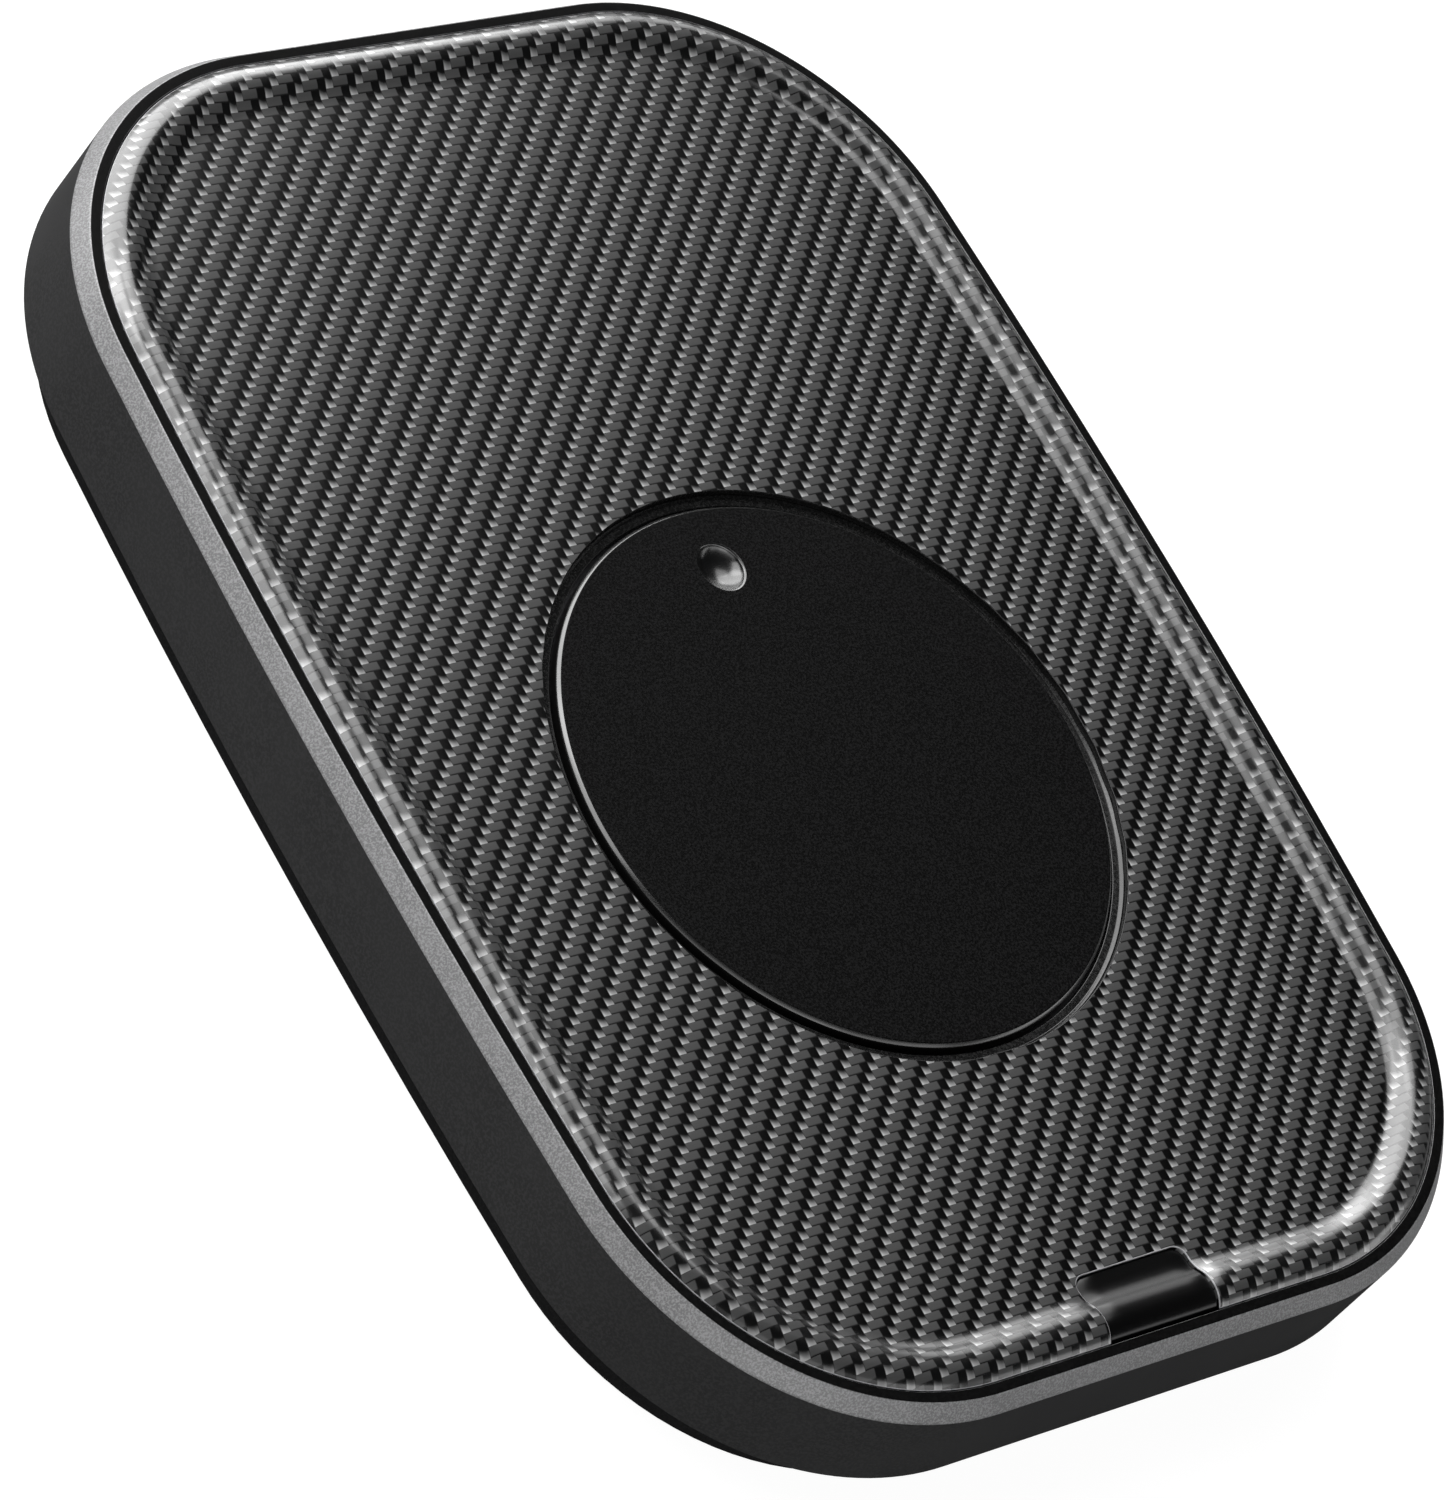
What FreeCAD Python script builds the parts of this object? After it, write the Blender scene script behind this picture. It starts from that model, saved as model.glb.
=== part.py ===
import FreeCAD, Part
import math
import os

# A mouse-moving desk pad: a dished, woven-look tray in a bevelled frame, with a slowly turning
# disc let into it. Millimetres, +Z up, origin under the middle of the pad, long sides along Y.
# The front, with the power button, faces -Y. The rear, with the charging socket, faces +Y.

# ---- Pad outline and levels ------------------------------------------------------------------
PAD_LENGTH = 130.0
PAD_WIDTH = 93.8
CORNER_RADIUS = 27.5
SIDE_BOW_RADIUS = 770.0
FOOT_STAND = 0.5
COVER_REVEAL = 4.6
WALL_HEIGHT = 8.65
BEVEL_RISE = 1.6
BEVEL_RUN = 1.0
LEDGE_WIDTH = 0.95
FRAME_WALL = 3.0
SHELF_REACH = 5.0
SHELF_THICKNESS = 1.2
FACE_CLEARANCE = 0.1
CUT_MARGIN = 1.0

# ---- Tray panel ------------------------------------------------------------------------------
PANEL_THICKNESS = 1.0
FLOOR_DROP = 0.15
BEAD_HEIGHT = 1.0
BEAD_FOOT_HEIGHT = 0.12
BEAD_OUTER_RUN = 1.8
BEAD_INNER_RUN = 3.1
GROOVE_DEPTH = 0.7
GROOVE_START = 1.0
GROOVE_WIDTH = 2.4

# ---- Turntable -------------------------------------------------------------------------------
DISC_CENTRE_Y = -10.4
DISC_RADIUS = 25.65
DISC_THICKNESS = 1.65
DISC_SINK = 0.05
DISC_EDGE_CHAMFER = 0.3
DISC_HUB_RADIUS = 4.0
HUB_DROP = 1.2
DIMPLE_RADIUS = 2.36
DIMPLE_CHAMFER = 0.34
DIMPLE_DEPTH = 0.95
DIMPLE_RIM_MARGIN = 3.33
BEZEL_LAND = 0.55
BEZEL_LIP_WIDTH = 0.25
BEZEL_LIP_HEIGHT = 0.22
BEZEL_PLATE = 0.2
BEZEL_SKIRT = 0.4
BEZEL_INNER_GAP = 0.35
DISC_UNDER_GAP = 0.3
BUSH_WALL = 1.0
BUSH_FLANGE_WIDTH = 1.2
BUSH_FLANGE_THICKNESS = 0.25
RUNNING_CLEARANCE = 0.03

# ---- Deck that carries the works -------------------------------------------------------------
DECK_THICKNESS = 1.0
WELL_WALL = 1.0
RIB_THICKNESS = 1.0
POST_RADIUS = 2.4
BOSS_RADIUS = 2.2

# ---- Gear train ------------------------------------------------------------------------------
GEAR_MODULE = 0.5
PRESSURE_ANGLE = 20.0
PINION_SHIFT = 0.3
DEDENDUM_FACTOR = 1.25
BACKLASH = 0.08
FLANK_STEPS = 2
PINION_TEETH = 12
OUTPUT_TEETH = 48
SECOND_TEETH = 48
FIRST_TEETH = 36
GEAR_FACE = 1.3
LAYER_GAP = 0.3
WHEEL_HUB_RADIUS = 1.9
WHEEL_WEB_THICKNESS = 0.8
WHEEL_RIM = 1.6
PIN_RADIUS = 1.0
PIN_SOCKET_DEPTH = 0.7
PIN_CLEARANCE = 0.04
SHAFT_RADIUS = 2.0
SHAFT_FLAT = 0.5
JOURNAL_RADIUS = 1.5
CLIP_GROOVE_DEPTH = 0.3
CLIP_THICKNESS = 0.4
CLIP_RADIUS = 2.9
CLIP_SLOT = 1.6
SHAFT_END = 0.5
SHAFT_SOCKET_CAP = 0.75
PLATE_THICKNESS = 0.8
PLATE_MARGIN = 1.4
PLATE_POST_GAP = 2.6
PLATE_POST_FRONT = 7.6
PLATE_POST_REAR = 1.6
PLATE_WINDOW_RADIUS = 3.0
PLATE_WINDOW_X = 8.8

# ---- Motor -----------------------------------------------------------------------------------
MOTOR_RADIUS = 7.5
MOTOR_HEIGHT = 7.3
MOTOR_EDGE = 0.5
MOTOR_FLANGE = 0.5
MOTOR_EAR_SPACING = 20.0
MOTOR_EAR_RADIUS = 2.4
MOTOR_SHAFT_RADIUS = 0.75
MOTOR_BORE_DEPTH = 3.0
TERMINAL_WIDTH = 7.0
TERMINAL_DEPTH = 3.4
TERMINAL_HEIGHT = 2.2

# ---- Bottom cover, feet and screws -----------------------------------------------------------
COVER_FLOOR = 1.6
COVER_WALL = 1.4
FOOT_RADIUS = 6.0
FOOT_RECESS = 0.8
FOOT_EDGE = 0.2
FOOT_X = 28.0
FOOT_Y = 44.0
HOUSING_POST_X = 35.0
HOUSING_POST_Y = 28.0
HOUSING_POST_RADIUS = 3.4
HOUSING_POST_SPLIT = 5.0
HOUSING_SCREW_RADIUS = 1.25
HOUSING_HEAD_RADIUS = 2.2
HOUSING_HEAD_HEIGHT = 1.5
HOUSING_HEAD_SINK = 0.5
HOUSING_SCREW_LENGTH = 7.0
SCREW_CLEARANCE = 0.05
SMALL_SCREW_RADIUS = 0.8
SMALL_HEAD_RADIUS = 1.6
SMALL_HEAD_HEIGHT = 0.9
SMALL_SCREW_LENGTH = 3.2

# ---- Boards and sockets ----------------------------------------------------------------------
BOARD_THICKNESS = 1.0
BOARD_STAND = 3.9
BOARD_POST_RADIUS = 2.0
BOARD_EDGE_GAP = 0.3
BOARD_REAR_REACH = 20.0
BOARD_FRONT_REACH = 10.5
BOARD_FRONT_DEPTH = 9.2
BOARD_STRIP_X = 24.2
BOARD_STRIP_WIDTH = 9.5
BOARD_TAB_WIDTH = 12.0
BOARD_POST_EDGE = 3.4
BOARD_POST_MIDDLE = 8.0
SOCKET_WIDTH = 8.94
SOCKET_HEIGHT = 3.26
SOCKET_DEPTH = 7.35
SOCKET_WALL = 0.3
SOCKET_SET_BACK = 0.4
SOCKET_CLEARANCE = 0.25
TONGUE_WIDTH = 6.7
TONGUE_THICKNESS = 0.7
TONGUE_SET_BACK = 1.2
DRIVER_CHIP = (10.0, 4.0, 1.5)
CONTROL_CHIP = (5.0, 4.0, 1.4)
CHIP_GAP = 1.0
CHIP_LEG_COUNT = 8
CONTROL_LEG_COUNT = 4
CHIP_LEG = (0.42, 1.0, 0.25)
CHIP_ROW_SET = 12.0
CAPACITOR_RADIUS = 2.0
CAPACITOR_HEIGHT = 4.4
CAPACITOR_PITCH = 5.0
CAPACITOR_X = 12.0
CAPACITOR_ROW_SET = 8.0

# ---- Power button ----------------------------------------------------------------------------
BUTTON_WIDTH = 12.2
BUTTON_DEPTH = 6.05
BUTTON_CORNER = 1.2
BUTTON_GAP = 0.12
BUTTON_SINK = 0.18
BUTTON_TRAVEL = 0.5
BUTTON_UNDER_GAP = 0.3
HOOK_WIDTH = 0.9
HOOK_REACH = 1.2
HOOK_HEIGHT = 0.7
HOOK_DEPTH = 2.2
HOOK_GAP = 0.2
STEM_WIDTH = 3.0
STEM_DEPTH = 1.6
SWITCH_SIZE = 4.5
SWITCH_HEIGHT = 3.4
PLUNGER_RADIUS = 1.2
PLUNGER_STAND = 1.0
PLUNGER_SEAT = 0.8
PLUNGER_GAP = 0.05
SWITCH_LEG = (0.5, 1.0, 0.3)
SWITCH_LEG_X = 1.6

# ---- Levels worked out from the sizes above --------------------------------------------------
COVER_BOTTOM = FOOT_STAND
WALL_BOTTOM = COVER_BOTTOM + COVER_REVEAL
BEVEL_START = WALL_BOTTOM + WALL_HEIGHT
LEDGE_TOP = BEVEL_START + BEVEL_RISE
TRAY_FLOOR = LEDGE_TOP - FLOOR_DROP
PANEL_BOTTOM = TRAY_FLOOR - PANEL_THICKNESS
DECK_BOTTOM = PANEL_BOTTOM - DECK_THICKNESS
SHELF_BOTTOM = DECK_BOTTOM - SHELF_THICKNESS
COVER_INSIDE = COVER_BOTTOM + COVER_FLOOR
DISC_TOP = TRAY_FLOOR - DISC_SINK
DISC_BOTTOM = DISC_TOP - DISC_THICKNESS
WELL_FLOOR_TOP = DISC_BOTTOM - DISC_UNDER_GAP
WELL_FLOOR_BOTTOM = WELL_FLOOR_TOP - DECK_THICKNESS
HUB_BOTTOM = DISC_BOTTOM - HUB_DROP
GEAR_CEILING = WELL_FLOOR_BOTTOM - LAYER_GAP / 2
UPPER_LAYER_TOP = GEAR_CEILING - LAYER_GAP / 2
UPPER_LAYER = UPPER_LAYER_TOP - GEAR_FACE
LOWER_LAYER = UPPER_LAYER - LAYER_GAP - GEAR_FACE
GEAR_PLATE_TOP = LOWER_LAYER - LAYER_GAP
GEAR_PLATE_BOTTOM = GEAR_PLATE_TOP - PLATE_THICKNESS
MOTOR_TOP = UPPER_LAYER - LAYER_GAP
MOTOR_CAN_TOP = MOTOR_TOP - MOTOR_FLANGE
BOARD_BOTTOM = COVER_INSIDE + BOARD_STAND
BOARD_TOP = BOARD_BOTTOM + BOARD_THICKNESS

# ---- Insets and places worked out from the sizes above ---------------------------------------
PANEL_INSET = BEVEL_RUN + LEDGE_WIDTH + FACE_CLEARANCE
COVER_INSET = FRAME_WALL + FACE_CLEARANCE
COVER_INNER_INSET = COVER_INSET + COVER_WALL
WELL_RADIUS = DISC_RADIUS + BEZEL_INNER_GAP + BEZEL_SKIRT
BEZEL_RADIUS = WELL_RADIUS + BEZEL_LAND
DISC_OPENING_RADIUS = BEZEL_RADIUS + FACE_CLEARANCE / 2
BEAD_CREST = PANEL_INSET + BEAD_OUTER_RUN
BEAD_END = BEAD_CREST + BEAD_INNER_RUN
DISC_AXIS = FreeCAD.Vector(0, DISC_CENTRE_Y, 0)


def pitch_radius(teeth):
    """Return the pitch radius of a gear with this many teeth."""
    return GEAR_MODULE * teeth / 2


SECOND_AXIS_Y = DISC_CENTRE_Y + pitch_radius(OUTPUT_TEETH) + pitch_radius(PINION_TEETH)
FIRST_AXIS_Y = SECOND_AXIS_Y + pitch_radius(SECOND_TEETH) + pitch_radius(PINION_TEETH)
MOTOR_AXIS_Y = FIRST_AXIS_Y + pitch_radius(FIRST_TEETH) + pitch_radius(PINION_TEETH)
GEAR_PIN_PLACES = [(0, SECOND_AXIS_Y), (0, FIRST_AXIS_Y)]
MOTOR_EAR_PLACES = [(side * MOTOR_EAR_SPACING / 2, MOTOR_AXIS_Y) for side in (-1, 1)]
PLATE_POST_X = pitch_radius(OUTPUT_TEETH) + PLATE_POST_GAP
PLATE_POST_PLACES = [
    (side * PLATE_POST_X, y)
    for side in (-1, 1)
    for y in (DISC_CENTRE_Y - PLATE_POST_FRONT, FIRST_AXIS_Y - PLATE_POST_REAR)
]
HOUSING_POST_PLACES = [
    (side * HOUSING_POST_X, end * HOUSING_POST_Y) for side in (-1, 1) for end in (-1, 1)
]
FOOT_PLACES = [(side * FOOT_X, end * FOOT_Y) for side in (-1, 1) for end in (-1, 1)]
BOARD_INSET = COVER_INNER_INSET + BOARD_EDGE_GAP
BOARD_END = PAD_LENGTH / 2 - BOARD_INSET
BOARD_REAR_START = MOTOR_AXIS_Y + MOTOR_RADIUS + BOARD_EDGE_GAP
BOARD_FRONT_END = BOARD_FRONT_DEPTH - BOARD_END
BOARD_POST_PLACES = [
    (BOARD_POST_EDGE - BOARD_REAR_REACH, BOARD_END - BOARD_FRONT_DEPTH),
    (BOARD_STRIP_X, BOARD_END - BOARD_FRONT_DEPTH),
    (BOARD_STRIP_X, BOARD_POST_MIDDLE),
    (BOARD_STRIP_X, BOARD_FRONT_DEPTH - BOARD_END),
    (BOARD_POST_EDGE - BOARD_FRONT_REACH, BOARD_FRONT_END - BOARD_POST_EDGE),
]
BUTTON_FRONT = -PAD_LENGTH / 2 + PANEL_INSET
BUTTON_REAR = BUTTON_FRONT + BUTTON_DEPTH
BUTTON_BOTTOM = DECK_BOTTOM + BUTTON_UNDER_GAP + BUTTON_TRAVEL
SWITCH_Y = SWITCH_SIZE / 2 - BOARD_END
SWITCH_TOP = BOARD_TOP + SWITCH_HEIGHT
PLUNGER_TOP = SWITCH_TOP + PLUNGER_STAND


# ---- Shape helpers ---------------------------------------------------------------------------
def vector(x, y, z=0.0):
    return FreeCAD.Vector(x, y, z)


UP = vector(0, 0, 1)


def cylinder(radius, bottom, top, x=0.0, y=0.0):
    return Part.makeCylinder(radius, top - bottom, vector(x, y, bottom), UP)


def cone(bottom_radius, top_radius, bottom, top, x=0.0, y=0.0):
    return Part.makeCone(bottom_radius, top_radius, top - bottom, vector(x, y, bottom), UP)


def block(x_range, y_range, z_range):
    low = vector(x_range[0], y_range[0], z_range[0])
    spans = [axis[1] - axis[0] for axis in (x_range, y_range, z_range)]
    return Part.makeBox(spans[0], spans[1], spans[2], low)


def upright_edges(shape):
    """Return the straight edges of a shape that run along Z."""
    upright = []
    for edge in shape.Edges:
        start, end = edge.Vertexes[0].Point, edge.Vertexes[-1].Point
        if abs(start.x - end.x) < 1e-6 and abs(start.y - end.y) < 1e-6:
            upright.append(edge)
    return upright


def rounded_block(x_range, y_range, z_range, radius):
    solid = block(x_range, y_range, z_range)
    return solid.makeFillet(radius, upright_edges(solid))


def joined(shapes):
    """Fuse the shapes into one solid without leftover seams."""
    return shapes[0].multiFuse(shapes[1:]).removeSplitter()


def minus(shape, tools):
    return shape.cut(Part.makeCompound(tools)).removeSplitter()


def row_of(count, pitch):
    """Return evenly spaced places, centred on nought."""
    return [(index - (count - 1) / 2) * pitch for index in range(count)]


# ---- The pad's outline: bowed sides, straight ends and round corners, all tangent -------------
CORNER_Y = PAD_LENGTH / 2 - CORNER_RADIUS
BOW_CENTRE_X = PAD_WIDTH / 2 - SIDE_BOW_RADIUS
CORNER_X = BOW_CENTRE_X + math.sqrt((SIDE_BOW_RADIUS - CORNER_RADIUS) ** 2 - CORNER_Y ** 2)
BOW_ANGLE = math.degrees(math.atan2(CORNER_Y, CORNER_X - BOW_CENTRE_X))

# Each arc of the outline: centre x, centre y, outer radius, start angle and sweep.
OUTLINE_ARCS = [
    (BOW_CENTRE_X, 0.0, SIDE_BOW_RADIUS, -BOW_ANGLE, 2 * BOW_ANGLE),
    (CORNER_X, CORNER_Y, CORNER_RADIUS, BOW_ANGLE, 90 - BOW_ANGLE),
    (-CORNER_X, CORNER_Y, CORNER_RADIUS, 90, 90 - BOW_ANGLE),
    (-BOW_CENTRE_X, 0.0, SIDE_BOW_RADIUS, 180 - BOW_ANGLE, 2 * BOW_ANGLE),
    (-CORNER_X, -CORNER_Y, CORNER_RADIUS, 180 + BOW_ANGLE, 90 - BOW_ANGLE),
    (CORNER_X, -CORNER_Y, CORNER_RADIUS, 270, 90 - BOW_ANGLE),
]


def arc_point(centre_x, centre_y, radius, degrees, z):
    angle = math.radians(degrees)
    return vector(centre_x + radius * math.cos(angle), centre_y + radius * math.sin(angle), z)


def outline_slab(inset, bottom, top):
    """Return the pad's outline, moved inward by inset, as a slab between two levels."""
    edges = []
    for centre_x, centre_y, radius, start, sweep in OUTLINE_ARCS:
        points = [
            arc_point(centre_x, centre_y, radius - inset, start + sweep * share, bottom)
            for share in (0, 0.5, 1)
        ]
        edges.append(Part.Arc(*points).toShape())
    for end in (-1, 1):
        y = end * (PAD_LENGTH / 2 - inset)
        edges.append(Part.makeLine(vector(-CORNER_X, y, bottom), vector(CORNER_X, y, bottom)))
    wire = Part.Wire(Part.__sortEdges__(edges))
    return Part.Face(wire).extrude(vector(0, 0, top - bottom))


def swept_round(section):
    """Sweep a face, drawn with x as minus the inset and z as height, round the outline."""
    pieces = []
    for centre_x, centre_y, radius, start, sweep in OUTLINE_ARCS:
        face = section.copy()
        face.translate(vector(radius, 0))
        face.rotate(vector(0, 0), UP, start)
        face.translate(vector(centre_x, centre_y))
        pieces.append(face.revolve(vector(centre_x, centre_y), UP, sweep))
    for end in (-1, 1):
        pieces.append(straight_run(section, end, CORNER_X))
    return joined(pieces)


def straight_run(section, end, half_width):
    """Run the section straight along the front (end -1) or rear (end 1) of the pad."""
    face = section.copy()
    face.rotate(vector(0, 0), UP, 90 * end)
    face.translate(vector(end * half_width, end * PAD_LENGTH / 2))
    return face.extrude(vector(-2 * end * half_width, 0))


def section_face(edges):
    return Part.Face(Part.Wire(edges))


def polygon_section(corners):
    """Make a section face from (inset, height) corners."""
    points = [vector(-inset, 0, height) for inset, height in corners]
    return Part.Face(Part.makePolygon(points + points[:1]))


# ---- The bead round the tray and the button's opening ----------------------------------------
def arc_between(start, end, centre):
    """Return the shorter arc about a centre, from and to (inset, height) points."""
    radius = math.dist(start, centre)
    half_way = [(start[axis] + end[axis]) / 2 - centre[axis] for axis in (0, 1)]
    stretch = radius / math.hypot(*half_way)
    middle = [centre[axis] + half_way[axis] * stretch for axis in (0, 1)]
    points = [vector(-inset, 0, height) for inset, height in (start, middle, end)]
    return Part.Arc(*points).toShape()


def line_through(corners):
    """Return the straight edges through (inset, height) corners."""
    points = [vector(-inset, 0, height) for inset, height in corners]
    return [Part.makeLine(first, second) for first, second in zip(points, points[1:])]


def bead_foot(floor):
    return PANEL_INSET, floor + BEAD_FOOT_HEIGHT


def bead_arcs(floor):
    """Return the bead's top above a floor level as three tangent arcs.

    The outer one rises steeply to the crest. The inner two, of one radius, fall from the
    crest and run out level on the floor.
    """
    foot = bead_foot(floor)
    crest = (BEAD_CREST, floor + BEAD_HEIGHT)
    end = (BEAD_END, floor)
    rise = BEAD_HEIGHT - BEAD_FOOT_HEIGHT
    outer_radius = (BEAD_OUTER_RUN ** 2 + rise ** 2) / (2 * rise)
    inner_radius = (BEAD_INNER_RUN ** 2 + BEAD_HEIGHT ** 2) / (4 * BEAD_HEIGHT)
    turn = ((crest[0] + end[0]) / 2, (crest[1] + end[1]) / 2)
    return [
        arc_between(foot, crest, (crest[0], crest[1] - outer_radius)),
        arc_between(crest, turn, (crest[0], crest[1] - inner_radius)),
        arc_between(turn, end, (end[0], end[1] + inner_radius)),
    ]


def bead_section():
    """Return the moulded rim: the bead above and a relief groove below."""
    groove_start = PANEL_INSET + GROOVE_START
    groove_end = groove_start + GROOVE_WIDTH
    groove = Part.Arc(
        vector(-groove_end, 0, PANEL_BOTTOM),
        vector(-(groove_start + groove_end) / 2, 0, PANEL_BOTTOM + GROOVE_DEPTH),
        vector(-groove_start, 0, PANEL_BOTTOM),
    ).toShape()
    inner_side = line_through([
        (BEAD_END, TRAY_FLOOR), (BEAD_END, PANEL_BOTTOM), (groove_end, PANEL_BOTTOM),
    ])
    outer_side = line_through([
        (groove_start, PANEL_BOTTOM), (PANEL_INSET, PANEL_BOTTOM), bead_foot(TRAY_FLOOR),
    ])
    return section_face(bead_arcs(TRAY_FLOOR) + inner_side + [groove] + outer_side)


def button_prism(gap, bottom, top):
    """Return the button's plan as a prism, smaller by gap all round, with round inner corners."""
    half_width = BUTTON_WIDTH / 2 - gap
    solid = block((-half_width, half_width), (BUTTON_FRONT + gap, BUTTON_REAR - gap), (bottom, top))
    rear_edges = [
        edge for edge in upright_edges(solid) if edge.Vertexes[0].Point.y > BUTTON_REAR - 2 * BUTTON_CORNER
    ]
    return solid.makeFillet(BUTTON_CORNER - gap, rear_edges)


def button_cutter(bottom, top):
    """Return what leaves the opening that the button works in, open to the front edge."""
    overshoot = PANEL_INSET
    mouth = block(
        (-BUTTON_WIDTH / 2, BUTTON_WIDTH / 2), (BUTTON_FRONT - overshoot, BUTTON_FRONT + overshoot),
        (bottom, top),
    )
    return button_prism(0.0, bottom, top).fuse(mouth)


# ---- Housing ---------------------------------------------------------------------------------
def make_side_frame():
    """The frame: upright wall, bevel, ledge and the inner shelf, with the socket's slot."""
    ledge_end = BEVEL_RUN + LEDGE_WIDTH
    section = polygon_section([
        (0, WALL_BOTTOM), (0, BEVEL_START), (BEVEL_RUN, LEDGE_TOP), (ledge_end, LEDGE_TOP),
        (ledge_end, DECK_BOTTOM), (SHELF_REACH, DECK_BOTTOM), (SHELF_REACH, SHELF_BOTTOM),
        (FRAME_WALL, SHELF_BOTTOM), (FRAME_WALL, WALL_BOTTOM),
    ])
    return minus(swept_round(section), [socket_slot()])


def socket_slot():
    """Return the stadium-shaped slot that the charging socket shows through."""
    half_width = SOCKET_WIDTH / 2 + SOCKET_CLEARANCE
    low = BOARD_TOP - SOCKET_CLEARANCE
    high = BOARD_TOP + SOCKET_HEIGHT + SOCKET_CLEARANCE
    return stadium(half_width, low, high, BOARD_END, PAD_LENGTH / 2 + SOCKET_CLEARANCE)


def stadium(half_width, low, high, front, rear):
    """Return a bar along Y with half-round sides."""
    radius = (high - low) / 2
    straight = half_width - radius
    middle = (low + high) / 2
    parts = [block((-straight, straight), (front, rear), (low, high))]
    for side in (-1, 1):
        centre = vector(side * straight, front, middle)
        parts.append(Part.makeCylinder(radius, rear - front, centre, vector(0, 1, 0)))
    return joined(parts)


def make_tray_panel():
    """The woven-look tray: flat floor, raised bead, disc opening and button notch."""
    floor = outline_slab(BEAD_END, PANEL_BOTTOM, TRAY_FLOOR)
    panel = joined([floor, swept_round(bead_section())])
    crest = TRAY_FLOOR + BEAD_HEIGHT + PANEL_THICKNESS
    opening = cylinder(DISC_OPENING_RADIUS, PANEL_BOTTOM - CUT_MARGIN, crest, y=DISC_CENTRE_Y)
    return minus(panel, [opening, button_cutter(PANEL_BOTTOM - CUT_MARGIN, crest)])


def make_deck():
    """The deck under the tray: a plate with the disc's well, and posts for all it carries."""
    plate = outline_slab(PANEL_INSET, DECK_BOTTOM, PANEL_BOTTOM)
    well = cylinder(WELL_RADIUS + WELL_WALL, WELL_FLOOR_BOTTOM, PANEL_BOTTOM, y=DISC_CENTRE_Y)
    posts = [
        cylinder(BOSS_RADIUS, GEAR_CEILING, PANEL_BOTTOM, x, y) for x, y in GEAR_PIN_PLACES
    ]
    posts += [
        cylinder(MOTOR_EAR_RADIUS, MOTOR_TOP, PANEL_BOTTOM, x, y) for x, y in MOTOR_EAR_PLACES
    ]
    posts += [
        cylinder(POST_RADIUS, GEAR_PLATE_TOP, PANEL_BOTTOM, x, y) for x, y in PLATE_POST_PLACES
    ]
    posts += [
        cylinder(HOUSING_POST_RADIUS, HOUSING_POST_SPLIT, PANEL_BOTTOM, x, y)
        for x, y in HOUSING_POST_PLACES
    ]
    solid = joined([plate, well] + deck_ribs() + posts)
    hollow = cylinder(WELL_RADIUS, WELL_FLOOR_TOP, PANEL_BOTTOM + CUT_MARGIN, y=DISC_CENTRE_Y)
    bush_seat = cylinder(
        DISC_HUB_RADIUS + RUNNING_CLEARANCE + BUSH_WALL, GEAR_CEILING, PANEL_BOTTOM, y=DISC_CENTRE_Y
    )
    cuts = [hollow, bush_seat, button_cutter(DECK_BOTTOM - CUT_MARGIN, PANEL_BOTTOM + CUT_MARGIN)]
    pin_top = WELL_FLOOR_BOTTOM + PIN_SOCKET_DEPTH
    cuts += [cylinder(PIN_RADIUS, GEAR_CEILING, pin_top, x, y) for x, y in GEAR_PIN_PLACES]
    for places, start in ((MOTOR_EAR_PLACES, MOTOR_CAN_TOP), (PLATE_POST_PLACES, GEAR_PLATE_BOTTOM)):
        reach = start + SMALL_SCREW_LENGTH + SCREW_CLEARANCE
        cuts += [cylinder(SMALL_SCREW_RADIUS, start, reach, x, y) for x, y in places]
    cuts += [
        cylinder(HOUSING_SCREW_RADIUS, HOUSING_POST_SPLIT, housing_screw_end(), x, y)
        for x, y in HOUSING_POST_PLACES
    ]
    return minus(solid, cuts)


def deck_ribs():
    """Return the four ribs that join the housing posts in a rectangle."""
    half = RIB_THICKNESS / 2
    levels = (WELL_FLOOR_BOTTOM, DECK_BOTTOM)
    ribs = []
    for side in (-1, 1):
        x, y = side * HOUSING_POST_X, side * HOUSING_POST_Y
        ribs.append(block((-HOUSING_POST_X, HOUSING_POST_X), (y - half, y + half), levels))
        ribs.append(block((x - half, x + half), (-HOUSING_POST_Y, HOUSING_POST_Y), levels))
    return ribs


def housing_head_seat():
    return COVER_BOTTOM + HOUSING_HEAD_SINK + HOUSING_HEAD_HEIGHT


def housing_screw_end():
    return housing_head_seat() + HOUSING_SCREW_LENGTH


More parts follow.
